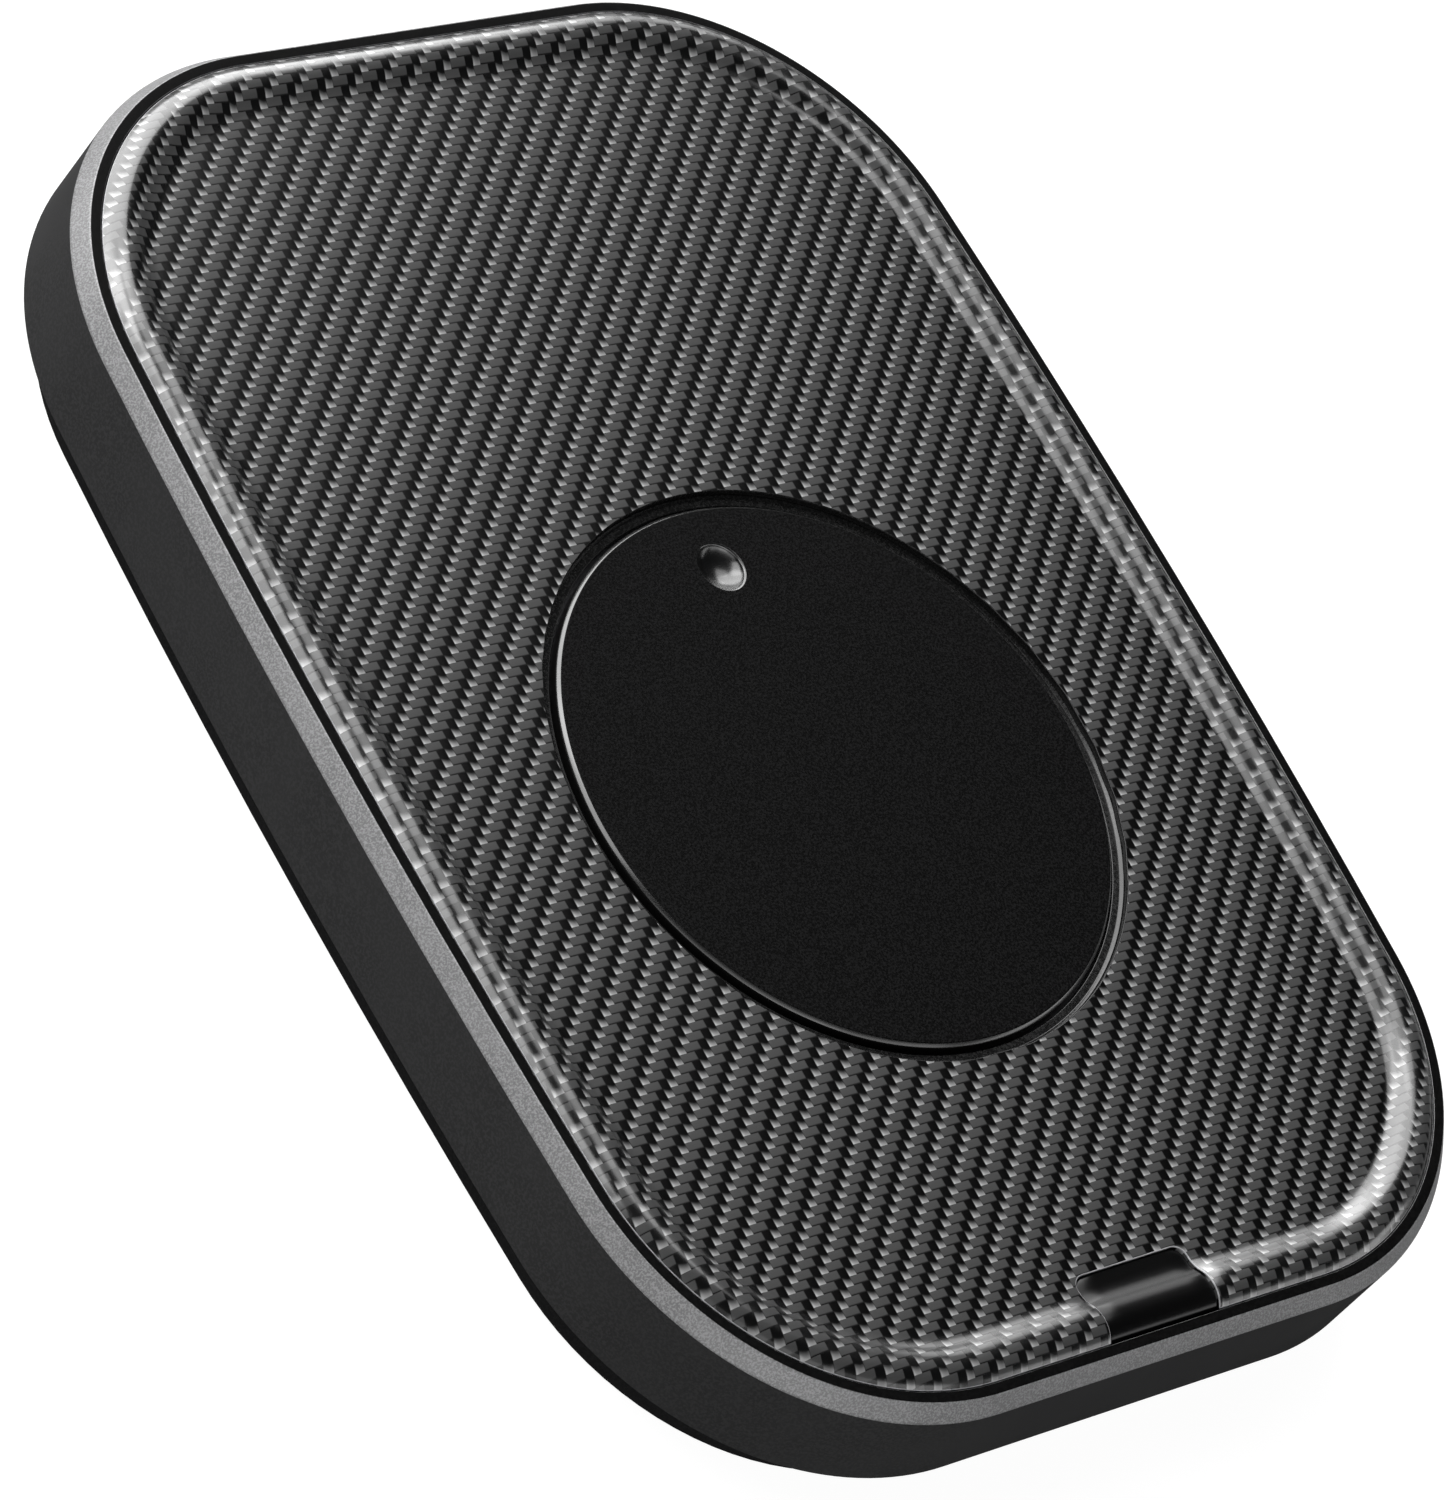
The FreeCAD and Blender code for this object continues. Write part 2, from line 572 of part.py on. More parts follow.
def make_bottom_cover():
    """The bottom cover: a set-back tray that stands inside the frame up to its shelf."""
    shell = outline_slab(COVER_INSET, COVER_BOTTOM, SHELF_BOTTOM)
    shell = shell.cut(outline_slab(COVER_INNER_INSET, COVER_INSIDE, SHELF_BOTTOM + CUT_MARGIN))
    posts = [
        cylinder(HOUSING_POST_RADIUS, COVER_BOTTOM, HOUSING_POST_SPLIT, x, y)
        for x, y in HOUSING_POST_PLACES
    ]
    for x, y in BOARD_POST_PLACES:
        posts.append(cylinder(BOARD_POST_RADIUS, COVER_BOTTOM, BOARD_BOTTOM, x, y))
    solid = joined([shell] + posts)
    cuts = []
    for x, y in FOOT_PLACES:
        cuts.append(cylinder(FOOT_RADIUS, 0, COVER_BOTTOM + FOOT_RECESS, x, y))
    for x, y in HOUSING_POST_PLACES:
        cuts.append(cylinder(HOUSING_HEAD_RADIUS + SCREW_CLEARANCE, 0, housing_head_seat(), x, y))
        cuts.append(cylinder(HOUSING_SCREW_RADIUS, 0, HOUSING_POST_SPLIT, x, y))
    for x, y in BOARD_POST_PLACES:
        screw_end = BOARD_TOP - SMALL_SCREW_LENGTH
        cuts.append(cylinder(SMALL_SCREW_RADIUS, screw_end, BOARD_BOTTOM, x, y))
    notch_half = BOARD_TAB_WIDTH / 2 + BOARD_EDGE_GAP
    notch_bottom = BOARD_BOTTOM - BOARD_EDGE_GAP
    cuts.append(block(
        (-notch_half, notch_half), (BOARD_END, PAD_LENGTH / 2), (notch_bottom, SHELF_BOTTOM + CUT_MARGIN)
    ))
    return minus(solid, cuts)


def make_rubber_feet():
    """Four round feet, let into the cover and standing proud of it."""
    feet = []
    for x, y in FOOT_PLACES:
        pad = cylinder(FOOT_RADIUS, FOOT_EDGE, COVER_BOTTOM + FOOT_RECESS, x, y)
        edge = cone(FOOT_RADIUS - FOOT_EDGE, FOOT_RADIUS, 0, FOOT_EDGE, x, y)
        feet.append(joined([pad, edge]))
    return Part.makeCompound(feet)


def screw(radius, length, head_radius, head_height):
    """Return a pan-head screw, head down, with its head's seat at nought."""
    return joined([cylinder(radius, 0, length), cylinder(head_radius, -head_height, 0)])


def small_screw():
    return screw(SMALL_SCREW_RADIUS, SMALL_SCREW_LENGTH, SMALL_HEAD_RADIUS, SMALL_HEAD_HEIGHT)


def placed_group(shape, places, level, turned_over=False):
    """Return copies of a shape at the places, with its nought at the level."""
    copies = []
    for x, y in places:
        item = shape.copy()
        if turned_over:
            item.rotate(vector(0, 0), vector(1, 0), 180)
        item.translate(vector(x, y, level))
        copies.append(item)
    return Part.makeCompound(copies)


def make_housing_screws():
    item = screw(
        HOUSING_SCREW_RADIUS, HOUSING_SCREW_LENGTH, HOUSING_HEAD_RADIUS, HOUSING_HEAD_HEIGHT
    )
    return placed_group(item, HOUSING_POST_PLACES, housing_head_seat())


# ---- Turntable -------------------------------------------------------------------------------
def shaft_section_cut(bottom, top, radius):
    """Return the slab that leaves the D-shaped flat on the shaft."""
    flat = radius - SHAFT_FLAT
    return block((flat, 2 * radius), (DISC_CENTRE_Y - radius, DISC_CENTRE_Y + radius), (bottom, top))


def make_turntable_disc():
    """The disc: chamfered rim, hub journal below, and the polished dimple near its edge."""
    body = cylinder(DISC_RADIUS, DISC_BOTTOM, DISC_TOP - DISC_EDGE_CHAMFER, y=DISC_CENTRE_Y)
    rim = cone(
        DISC_RADIUS, DISC_RADIUS - DISC_EDGE_CHAMFER, DISC_TOP - DISC_EDGE_CHAMFER, DISC_TOP,
        y=DISC_CENTRE_Y,
    )
    hub = cylinder(DISC_HUB_RADIUS, HUB_BOTTOM, DISC_BOTTOM, y=DISC_CENTRE_Y)
    socket_top = DISC_TOP - SHAFT_SOCKET_CAP
    socket = cylinder(SHAFT_RADIUS, HUB_BOTTOM, socket_top, y=DISC_CENTRE_Y)
    socket = socket.cut(shaft_section_cut(HUB_BOTTOM, socket_top, SHAFT_RADIUS))
    dimple_y = DISC_CENTRE_Y + DISC_RADIUS - DIMPLE_RIM_MARGIN - DIMPLE_RADIUS
    bowl_radius = DIMPLE_RADIUS - DIMPLE_CHAMFER
    bowl_top = DISC_TOP - DIMPLE_CHAMFER
    lip = cone(bowl_radius, DIMPLE_RADIUS, bowl_top, DISC_TOP, y=dimple_y)
    sphere_radius = (bowl_radius ** 2 + DIMPLE_DEPTH ** 2) / (2 * DIMPLE_DEPTH)
    sphere_centre = vector(0, dimple_y, bowl_top - DIMPLE_DEPTH + sphere_radius)
    sphere = Part.makeSphere(sphere_radius, sphere_centre)
    below_lip = block(
        (-sphere_radius, sphere_radius), (dimple_y - sphere_radius, dimple_y + sphere_radius),
        (bowl_top - DIMPLE_DEPTH, bowl_top),
    )
    return minus(joined([body, rim, hub]), [socket, lip, sphere.common(below_lip)])


def make_disc_bezel():
    """The black liner round the disc: a skirt down the well, a flat land and a small lip."""
    inner = DISC_RADIUS + BEZEL_INNER_GAP
    land_top = PANEL_BOTTOM + BEZEL_PLATE
    corners = [
        (inner, WELL_FLOOR_TOP), (WELL_RADIUS, WELL_FLOOR_TOP), (WELL_RADIUS, PANEL_BOTTOM),
        (BEZEL_RADIUS, PANEL_BOTTOM), (BEZEL_RADIUS, land_top + BEZEL_LIP_HEIGHT),
        (BEZEL_RADIUS - BEZEL_LIP_WIDTH, land_top), (inner, land_top),
    ]
    points = [vector(radius, 0, height) for radius, height in corners]
    face = Part.Face(Part.makePolygon(points + points[:1]))
    ring = face.revolve(vector(0, 0), UP, 360)
    ring.translate(DISC_AXIS)
    return ring


def make_output_bush():
    """The flanged bush in the deck; the disc's hub runs in it and rests over its flange."""
    bore = DISC_HUB_RADIUS + RUNNING_CLEARANCE
    sleeve = cylinder(bore + BUSH_WALL, WELL_FLOOR_BOTTOM, WELL_FLOOR_TOP, y=DISC_CENTRE_Y)
    flange_top = WELL_FLOOR_TOP + BUSH_FLANGE_THICKNESS
    flange_radius = bore + BUSH_WALL + BUSH_FLANGE_WIDTH
    flange = cylinder(flange_radius, WELL_FLOOR_TOP, flange_top, y=DISC_CENTRE_Y)
    hole = cylinder(bore, WELL_FLOOR_BOTTOM, flange_top, y=DISC_CENTRE_Y)
    return minus(joined([sleeve, flange]), [hole])


def make_output_shaft():
    """The steel shaft: journal and clip groove below, shoulder, and a flat up to the disc."""
    top = DISC_TOP - SHAFT_SOCKET_CAP
    clip_top = GEAR_PLATE_BOTTOM - FACE_CLEARANCE
    clip_bottom = clip_top - CLIP_THICKNESS
    end = clip_bottom - SHAFT_END
    shoulder = GEAR_PLATE_TOP + FACE_CLEARANCE
    journal = cylinder(JOURNAL_RADIUS, end, shoulder, y=DISC_CENTRE_Y)
    body = cylinder(SHAFT_RADIUS, shoulder, top, y=DISC_CENTRE_Y)
    groove_ring = cylinder(JOURNAL_RADIUS, clip_bottom, clip_top, y=DISC_CENTRE_Y).cut(
        cylinder(JOURNAL_RADIUS - CLIP_GROOVE_DEPTH, clip_bottom, clip_top, y=DISC_CENTRE_Y)
    )
    flat = shaft_section_cut(shoulder, top, SHAFT_RADIUS)
    return minus(joined([journal, body]), [groove_ring, flat])


def make_shaft_clip():
    """The spring clip in the shaft's groove, open to one side."""
    top = GEAR_PLATE_BOTTOM - FACE_CLEARANCE
    bottom = top - CLIP_THICKNESS
    ring = cylinder(CLIP_RADIUS, bottom, top, y=DISC_CENTRE_Y)
    inner = JOURNAL_RADIUS - CLIP_GROOVE_DEPTH
    mouth = block(
        (0, CLIP_RADIUS), (DISC_CENTRE_Y - CLIP_SLOT / 2, DISC_CENTRE_Y + CLIP_SLOT / 2),
        (bottom, top),
    )
    return minus(ring, [cylinder(inner, bottom, top, y=DISC_CENTRE_Y), mouth])


# ---- Gears -----------------------------------------------------------------------------------
def involute(angle):
    return math.tan(angle) - angle


def gear_prism(teeth, shift, first_tooth, bottom, top, y):
    """Return an involute spur gear as a prism.

    shift is the profile shift in modules, and first_tooth the direction of one tooth's
    middle in degrees. Each flank follows the involute from the base circle to the tip.
    """
    pitch = pitch_radius(teeth)
    pressure = math.radians(PRESSURE_ANGLE)
    base = pitch * math.cos(pressure)
    tip = pitch + GEAR_MODULE * (1 + shift)
    root = pitch - GEAR_MODULE * (DEDENDUM_FACTOR - shift)
    thickness = GEAR_MODULE * (math.pi / 2 + 2 * shift * math.tan(pressure)) - BACKLASH / 2
    half_at_base = thickness / (2 * pitch) + involute(pressure)
    start = max(base, root)
    radii = [start + (tip - start) * step / FLANK_STEPS for step in range(FLANK_STEPS + 1)]
    flank = [(root, half_at_base - involute(math.acos(base / start)))]
    flank += [(radius, half_at_base - involute(math.acos(base / radius))) for radius in radii]
    tooth = [(radius, -half) for radius, half in flank]
    tooth += [(radius, half) for radius, half in reversed(flank)]
    points = []
    for index in range(teeth):
        middle = math.radians(first_tooth) + 2 * math.pi * index / teeth
        for radius, offset in tooth:
            angle = middle + offset
            points.append(vector(radius * math.cos(angle), y + radius * math.sin(angle), bottom))
    face = Part.Face(Part.makePolygon(points + points[:1]))
    return face.extrude(vector(0, 0, top - bottom))


def wheel_relief(teeth, hub_radius, bottom, top, y):
    """Return the two rings that thin a wheel's web between its hub and its rim."""
    rim_inner = pitch_radius(teeth) - WHEEL_RIM
    depth = (top - bottom - WHEEL_WEB_THICKNESS) / 2
    rings = []
    for low in (bottom, top - depth):
        ring = cylinder(rim_inner, low, low + depth, y=y)
        rings.append(ring.cut(cylinder(hub_radius, low, low + depth, y=y)))
    return rings


# A tooth of each wheel points to the rear, and a gap of each pinion points to the front.
WHEEL_TOOTH_DIRECTION = 90.0
PINION_TOOTH_DIRECTION = -90.0 + 180.0 / PINION_TEETH


def compound_gear(wheel_teeth, wheel_level, pinion_level, y):
    """Return a wheel with a pinion moulded on, on a bore that turns on its pin."""
    wheel_top = wheel_level + GEAR_FACE
    wheel = gear_prism(
        wheel_teeth, -PINION_SHIFT, WHEEL_TOOTH_DIRECTION, wheel_level, wheel_top, y
    )
    hub = WHEEL_HUB_RADIUS + WHEEL_RIM
    wheel = minus(wheel, wheel_relief(wheel_teeth, hub, wheel_level, wheel_top, y))
    pinion = gear_prism(
        PINION_TEETH, PINION_SHIFT, PINION_TOOTH_DIRECTION, pinion_level, pinion_level + GEAR_FACE, y
    )
    core = cylinder(WHEEL_HUB_RADIUS, LOWER_LAYER, UPPER_LAYER_TOP, y=y)
    bore = cylinder(PIN_RADIUS + PIN_CLEARANCE, GEAR_PLATE_TOP, GEAR_CEILING, y=y)
    return minus(joined([wheel, pinion, core]), [bore])


def make_output_gear():
    """The large wheel on the turntable's shaft, with a hub that fits the shaft's flat."""
    level, top = UPPER_LAYER, UPPER_LAYER_TOP
    wheel = gear_prism(
        OUTPUT_TEETH, -PINION_SHIFT, WHEEL_TOOTH_DIRECTION, level, top, DISC_CENTRE_Y
    )
    hub = SHAFT_RADIUS + WHEEL_RIM
    wheel = minus(wheel, wheel_relief(OUTPUT_TEETH, hub, level, top, DISC_CENTRE_Y))
    bore = cylinder(SHAFT_RADIUS, level, top, y=DISC_CENTRE_Y)
    bore = bore.cut(shaft_section_cut(level, top, SHAFT_RADIUS))
    return minus(wheel, [bore])


def make_gear_pins():
    """The fixed steel pins of the two compound gears, held in the deck and the gear plate."""
    top = WELL_FLOOR_BOTTOM + PIN_SOCKET_DEPTH
    pins = [cylinder(PIN_RADIUS, GEAR_PLATE_BOTTOM, top, x, y) for x, y in GEAR_PIN_PLACES]
    return Part.makeCompound(pins)


def make_gear_plate():
    """The plate under the gears, with the lower bearings and two windows."""
    lug = POST_RADIUS + PLATE_MARGIN
    posts_y = [y for _, y in PLATE_POST_PLACES]
    plate = rounded_block(
        (-PLATE_POST_X - lug, PLATE_POST_X + lug), (min(posts_y) - lug, max(posts_y) + lug),
        (GEAR_PLATE_BOTTOM, GEAR_PLATE_TOP), lug,
    )
    window_y = (DISC_CENTRE_Y + SECOND_AXIS_Y) / 2
    holes = [(JOURNAL_RADIUS + RUNNING_CLEARANCE, 0, DISC_CENTRE_Y)]
    holes += [(PIN_RADIUS, x, y) for x, y in GEAR_PIN_PLACES]
    holes += [(SMALL_SCREW_RADIUS, x, y) for x, y in PLATE_POST_PLACES]
    holes += [(PLATE_WINDOW_RADIUS, side * PLATE_WINDOW_X, window_y) for side in (-1, 1)]
    cuts = [
        cylinder(radius, GEAR_PLATE_BOTTOM, GEAR_PLATE_TOP, x, y) for radius, x, y in holes
    ]
    return minus(plate, cuts)


def make_plate_screws():
    return placed_group(small_screw(), PLATE_POST_PLACES, GEAR_PLATE_BOTTOM)


# ---- Motor -----------------------------------------------------------------------------------
def make_motor_can():
    """The motor's drawn can, with bevelled rims and a bore for the rotor's shaft."""
    low, high = MOTOR_CAN_TOP - MOTOR_HEIGHT, MOTOR_CAN_TOP
    rim_radius = MOTOR_RADIUS - MOTOR_EDGE
    can = joined([
        cone(rim_radius, MOTOR_RADIUS, low, low + MOTOR_EDGE, y=MOTOR_AXIS_Y),
        cylinder(MOTOR_RADIUS, low + MOTOR_EDGE, high - MOTOR_EDGE, y=MOTOR_AXIS_Y),
        cone(MOTOR_RADIUS, rim_radius, high - MOTOR_EDGE, high, y=MOTOR_AXIS_Y),
    ])
    bore_radius = MOTOR_SHAFT_RADIUS + RUNNING_CLEARANCE
    return minus(can, [cylinder(bore_radius, high - MOTOR_BORE_DEPTH, high, y=MOTOR_AXIS_Y)])


def make_motor_flange():
    """The mounting plate on the can, with an ear each side."""
    disc = cylinder(MOTOR_RADIUS - MOTOR_EDGE, MOTOR_CAN_TOP, MOTOR_TOP, y=MOTOR_AXIS_Y)
    bar = block(
        (-MOTOR_EAR_SPACING / 2, MOTOR_EAR_SPACING / 2),
        (MOTOR_AXIS_Y - MOTOR_EAR_RADIUS, MOTOR_AXIS_Y + MOTOR_EAR_RADIUS),
        (MOTOR_CAN_TOP, MOTOR_TOP),
    )
    ears = [
        cylinder(MOTOR_EAR_RADIUS, MOTOR_CAN_TOP, MOTOR_TOP, x, y) for x, y in MOTOR_EAR_PLACES
    ]
    holes = [
        cylinder(SMALL_SCREW_RADIUS, MOTOR_CAN_TOP, MOTOR_TOP, x, y) for x, y in MOTOR_EAR_PLACES
    ]
    shaft_hole = cylinder(
        MOTOR_SHAFT_RADIUS + RUNNING_CLEARANCE, MOTOR_CAN_TOP, MOTOR_TOP, y=MOTOR_AXIS_Y
    )
    return minus(joined([disc, bar] + ears), holes + [shaft_hole])


def make_motor_screws():
    return placed_group(small_screw(), MOTOR_EAR_PLACES, MOTOR_CAN_TOP)


def make_motor_shaft():
    low = MOTOR_CAN_TOP - MOTOR_BORE_DEPTH + FACE_CLEARANCE
    return cylinder(MOTOR_SHAFT_RADIUS, low, UPPER_LAYER_TOP, y=MOTOR_AXIS_Y)


def make_motor_pinion():
    pinion = gear_prism(
        PINION_TEETH, PINION_SHIFT, PINION_TOOTH_DIRECTION, UPPER_LAYER, UPPER_LAYER_TOP, MOTOR_AXIS_Y
    )
    bore = cylinder(MOTOR_SHAFT_RADIUS, UPPER_LAYER, UPPER_LAYER_TOP, y=MOTOR_AXIS_Y)
    return minus(pinion, [bore])


def make_motor_terminals():
    """The terminal block on the can's rear side, which stands on the board."""
    rear = MOTOR_AXIS_Y + MOTOR_RADIUS + TERMINAL_DEPTH
    low, high = BOARD_TOP, BOARD_TOP + TERMINAL_HEIGHT
    body = block((-TERMINAL_WIDTH / 2, TERMINAL_WIDTH / 2), (MOTOR_AXIS_Y, rear), (low, high))
    return minus(body, [cylinder(MOTOR_RADIUS, low, high, y=MOTOR_AXIS_Y)])


# ---- Boards ----------------------------------------------------------------------------------
def make_main_board():
    """The one board: charging socket and motor at the rear, switch at the front.

    A strip along the right side joins the two ends, and the board keeps to the cover's form.
    """
    strip = (BOARD_STRIP_X - BOARD_STRIP_WIDTH / 2, BOARD_STRIP_X + BOARD_STRIP_WIDTH / 2)
    levels = (BOARD_BOTTOM, BOARD_TOP)
    regions = [
        block((-BOARD_REAR_REACH, strip[1]), (BOARD_REAR_START, BOARD_END), levels),
        block(strip, (-BOARD_END, BOARD_END), levels),
        block((-BOARD_FRONT_REACH, strip[1]), (-BOARD_END, BOARD_FRONT_END), levels),
    ]
    plate = joined(regions).common(outline_slab(BOARD_INSET, BOARD_BOTTOM, BOARD_TOP))
    tab_end = PAD_LENGTH / 2 - FRAME_WALL - BOARD_EDGE_GAP
    tab = block((-BOARD_TAB_WIDTH / 2, BOARD_TAB_WIDTH / 2), (BOARD_REAR_START, tab_end), levels)
    holes = [
        cylinder(SMALL_SCREW_RADIUS, BOARD_BOTTOM, BOARD_TOP, x, y) for x, y in BOARD_POST_PLACES
    ]
    return minus(joined([plate, tab]), holes)


def make_board_screws():
    return placed_group(small_screw(), BOARD_POST_PLACES, BOARD_TOP, turned_over=True)


def socket_range():
    rear = PAD_LENGTH / 2 - SOCKET_SET_BACK
    return rear - SOCKET_DEPTH, rear


def make_socket_shell():
    """The charging socket's steel shell, open to the rear and closed at the front."""
    front, rear = socket_range()
    half_width = SOCKET_WIDTH / 2
    low, high = BOARD_TOP, BOARD_TOP + SOCKET_HEIGHT
    outside = stadium(half_width, low, high, front, rear)
    inside = stadium(
        half_width - SOCKET_WALL, low + SOCKET_WALL, high - SOCKET_WALL, front + SOCKET_WALL, rear
    )
    return outside.cut(inside)


def make_socket_tongue():
    """The contact tongue in the middle of the socket."""
    front, rear = socket_range()
    middle = BOARD_TOP + SOCKET_HEIGHT / 2
    return block(
        (-TONGUE_WIDTH / 2, TONGUE_WIDTH / 2), (front + SOCKET_WALL, rear - TONGUE_SET_BACK),
        (middle - TONGUE_THICKNESS / 2, middle + TONGUE_THICKNESS / 2),
    )


def chip(size, x, y, legs):
    """Return a chip with two rows of legs, standing on the main board."""
    width, depth, height = size
    leg_width, leg_reach, leg_thickness = CHIP_LEG
    body = block(
        (x - width / 2, x + width / 2), (y - depth / 2, y + depth / 2), (BOARD_TOP, BOARD_TOP + height)
    )
    parts = [body]
    for offset in row_of(legs, width / legs):
        reach = depth / 2 + leg_reach
        parts.append(block(
            (x + offset - leg_width / 2, x + offset + leg_width / 2), (y - reach, y + reach),
            (BOARD_TOP, BOARD_TOP + leg_thickness),
        ))
    return joined(parts)


CHIP_ROW_Y = BOARD_END - CHIP_ROW_SET
CHIP_ROW_X = TERMINAL_WIDTH / 2 + CHIP_GAP


def make_driver_chip():
    return chip(DRIVER_CHIP, -CHIP_ROW_X - DRIVER_CHIP[0] / 2, CHIP_ROW_Y, CHIP_LEG_COUNT)


def make_control_chip():
    return chip(CONTROL_CHIP, CHIP_ROW_X + CONTROL_CHIP[0] / 2, CHIP_ROW_Y, CONTROL_LEG_COUNT)


def make_capacitors():
    """The two upright smoothing capacitors beside the charging socket."""
    y = BOARD_END - CAPACITOR_ROW_SET
    cans = [
        cylinder(CAPACITOR_RADIUS, BOARD_TOP, BOARD_TOP + CAPACITOR_HEIGHT, CAPACITOR_X + step, y)
        for step in (0, CAPACITOR_PITCH)
    ]
    return Part.makeCompound(cans)


# ---- Power button ----------------------------------------------------------------------------
def make_button_cap():
    """The power button: it carries on the bead's form, with side hooks and a stem below."""
    floor = TRAY_FLOOR - BUTTON_SINK
    rear = PANEL_INSET + BUTTON_DEPTH
    below = line_through([
        (BEAD_END, floor), (rear, floor), (rear, BUTTON_BOTTOM), (PANEL_INSET, BUTTON_BOTTOM),
        bead_foot(floor),
    ])
    run = straight_run(section_face(bead_arcs(floor) + below), -1, BUTTON_WIDTH / 2)
    plan = button_prism(BUTTON_GAP, BUTTON_BOTTOM, LEDGE_TOP + BEAD_HEIGHT)
    parts = [run.common(plan), button_stem()]
    for side in (-1, 1):
        parts += button_hook(side)
    return joined(parts)


def button_stem():
    front = SWITCH_Y - STEM_DEPTH / 2
    return block(
        (-STEM_WIDTH / 2, STEM_WIDTH / 2), (front, front + STEM_DEPTH), (PLUNGER_TOP, BUTTON_BOTTOM)
    )


def button_hook(side):
    """Return the leg and the barb that keep the button from coming out of the deck."""
    outer = BUTTON_WIDTH / 2 - BUTTON_GAP
    hook_top = DECK_BOTTOM - HOOK_GAP
    hook_bottom = hook_top - HOOK_HEIGHT
    front = -PAD_LENGTH / 2 + SHELF_REACH + HOOK_GAP
    y_range = (front, front + HOOK_DEPTH)
    leg_x = sorted((side * (outer - HOOK_WIDTH), side * outer))
    barb_x = sorted((side * (outer - HOOK_WIDTH), side * (outer + HOOK_REACH)))
    return [
        block(leg_x, y_range, (hook_bottom, BUTTON_BOTTOM)),
        block(barb_x, y_range, (hook_bottom, hook_top)),
    ]


def make_switch_body():
    """The tactile switch: a square body with the plunger's well, and four legs."""
    half = SWITCH_SIZE / 2
    body = block((-half, half), (SWITCH_Y - half, SWITCH_Y + half), (BOARD_TOP, SWITCH_TOP))
    well_bottom = SWITCH_TOP - PLUNGER_SEAT - BUTTON_TRAVEL - PLUNGER_GAP
    well = cylinder(PLUNGER_RADIUS + PLUNGER_GAP, well_bottom, SWITCH_TOP, y=SWITCH_Y)
    leg_width, leg_reach, leg_thickness = SWITCH_LEG
    legs = []
    for offset in (-SWITCH_LEG_X, SWITCH_LEG_X):
        y_range = (SWITCH_Y + offset - leg_width / 2, SWITCH_Y + offset + leg_width / 2)
        x_range = (-half - leg_reach, half + leg_reach)
        legs.append(block(x_range, y_range, (BOARD_TOP, BOARD_TOP + leg_thickness)))
    return minus(joined([body] + legs), [well])


def make_switch_plunger():
    return cylinder(PLUNGER_RADIUS, SWITCH_TOP - PLUNGER_SEAT, PLUNGER_TOP, y=SWITCH_Y)


# ---- Write one file per piece ----------------------------------------------------------------
PIECES = {
    "side_frame": make_side_frame,
    "tray_panel": make_tray_panel,
    "deck": make_deck,
    "bottom_cover": make_bottom_cover,
    "rubber_feet": make_rubber_feet,
    "housing_screws": make_housing_screws,
    "turntable_disc": make_turntable_disc,
    "disc_bezel": make_disc_bezel,
    "output_bush": make_output_bush,
    "output_shaft": make_output_shaft,
    "shaft_clip": make_shaft_clip,
    "output_gear": make_output_gear,
    "second_gear": lambda: compound_gear(SECOND_TEETH, LOWER_LAYER, UPPER_LAYER, SECOND_AXIS_Y),
    "first_gear": lambda: compound_gear(FIRST_TEETH, UPPER_LAYER, LOWER_LAYER, FIRST_AXIS_Y),
    "gear_pins": make_gear_pins,
    "gear_plate": make_gear_plate,
    "plate_screws": make_plate_screws,
    "motor_can": make_motor_can,
    "motor_flange": make_motor_flange,
    "motor_screws": make_motor_screws,
    "motor_shaft": make_motor_shaft,
    "motor_pinion": make_motor_pinion,
    "motor_terminals": make_motor_terminals,
    "main_board": make_main_board,
    "board_screws": make_board_screws,
    "socket_shell": make_socket_shell,
    "socket_tongue": make_socket_tongue,
    "driver_chip": make_driver_chip,
    "control_chip": make_control_chip,
    "capacitors": make_capacitors,
    "button_cap": make_button_cap,
    "switch_body": make_switch_body,
    "switch_plunger": make_switch_plunger,
}

os.makedirs("parts", exist_ok=True)
for name, make in PIECES.items():
    shape = make()
    if not shape.isValid():
        raise ValueError(name + " is not a valid shape")
    shape.exportStep("parts/" + name + ".step")
    print(name, len(shape.Solids), "solid(s)", round(shape.Volume, 2), "mm3")
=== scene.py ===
import logging
import math
from dataclasses import dataclass
from enum import IntEnum
from itertools import pairwise
from typing import Sequence

import bmesh
import bpy
from mathutils import Matrix, Vector


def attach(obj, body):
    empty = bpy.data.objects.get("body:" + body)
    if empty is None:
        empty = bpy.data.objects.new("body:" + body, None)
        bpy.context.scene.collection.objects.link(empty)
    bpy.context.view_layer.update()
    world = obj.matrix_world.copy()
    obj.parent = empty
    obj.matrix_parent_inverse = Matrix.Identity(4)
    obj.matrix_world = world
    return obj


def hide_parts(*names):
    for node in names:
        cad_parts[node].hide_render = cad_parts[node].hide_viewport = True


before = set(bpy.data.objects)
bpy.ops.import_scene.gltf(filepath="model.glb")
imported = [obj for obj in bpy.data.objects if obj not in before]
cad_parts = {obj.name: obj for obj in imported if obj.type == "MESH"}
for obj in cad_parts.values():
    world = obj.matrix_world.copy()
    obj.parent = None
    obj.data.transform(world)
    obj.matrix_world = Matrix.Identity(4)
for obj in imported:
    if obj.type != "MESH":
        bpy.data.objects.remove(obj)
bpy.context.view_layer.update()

MM = 0.001
PER_MM = 1.0 / MM
LOG = logging.getLogger("mouse_jiggler")

# Where the middle of a small round lies inside its corner, as a share of the round.
ROUND_MIDDLE = 0.29
# The turntable's axis, in millimetres.
DISC_CENTRE = (0.0, -10.4)
# Points of a sketch, and of a CAD node's copy, that are nearer than this are one point.
SKETCH_MERGE, COPY_MERGE = 0.0005 * MM, 0.002 * MM
# Faces of a CAD node's copy that meet at less than this many degrees are made one face.
FLAT_ANGLE = 0.3
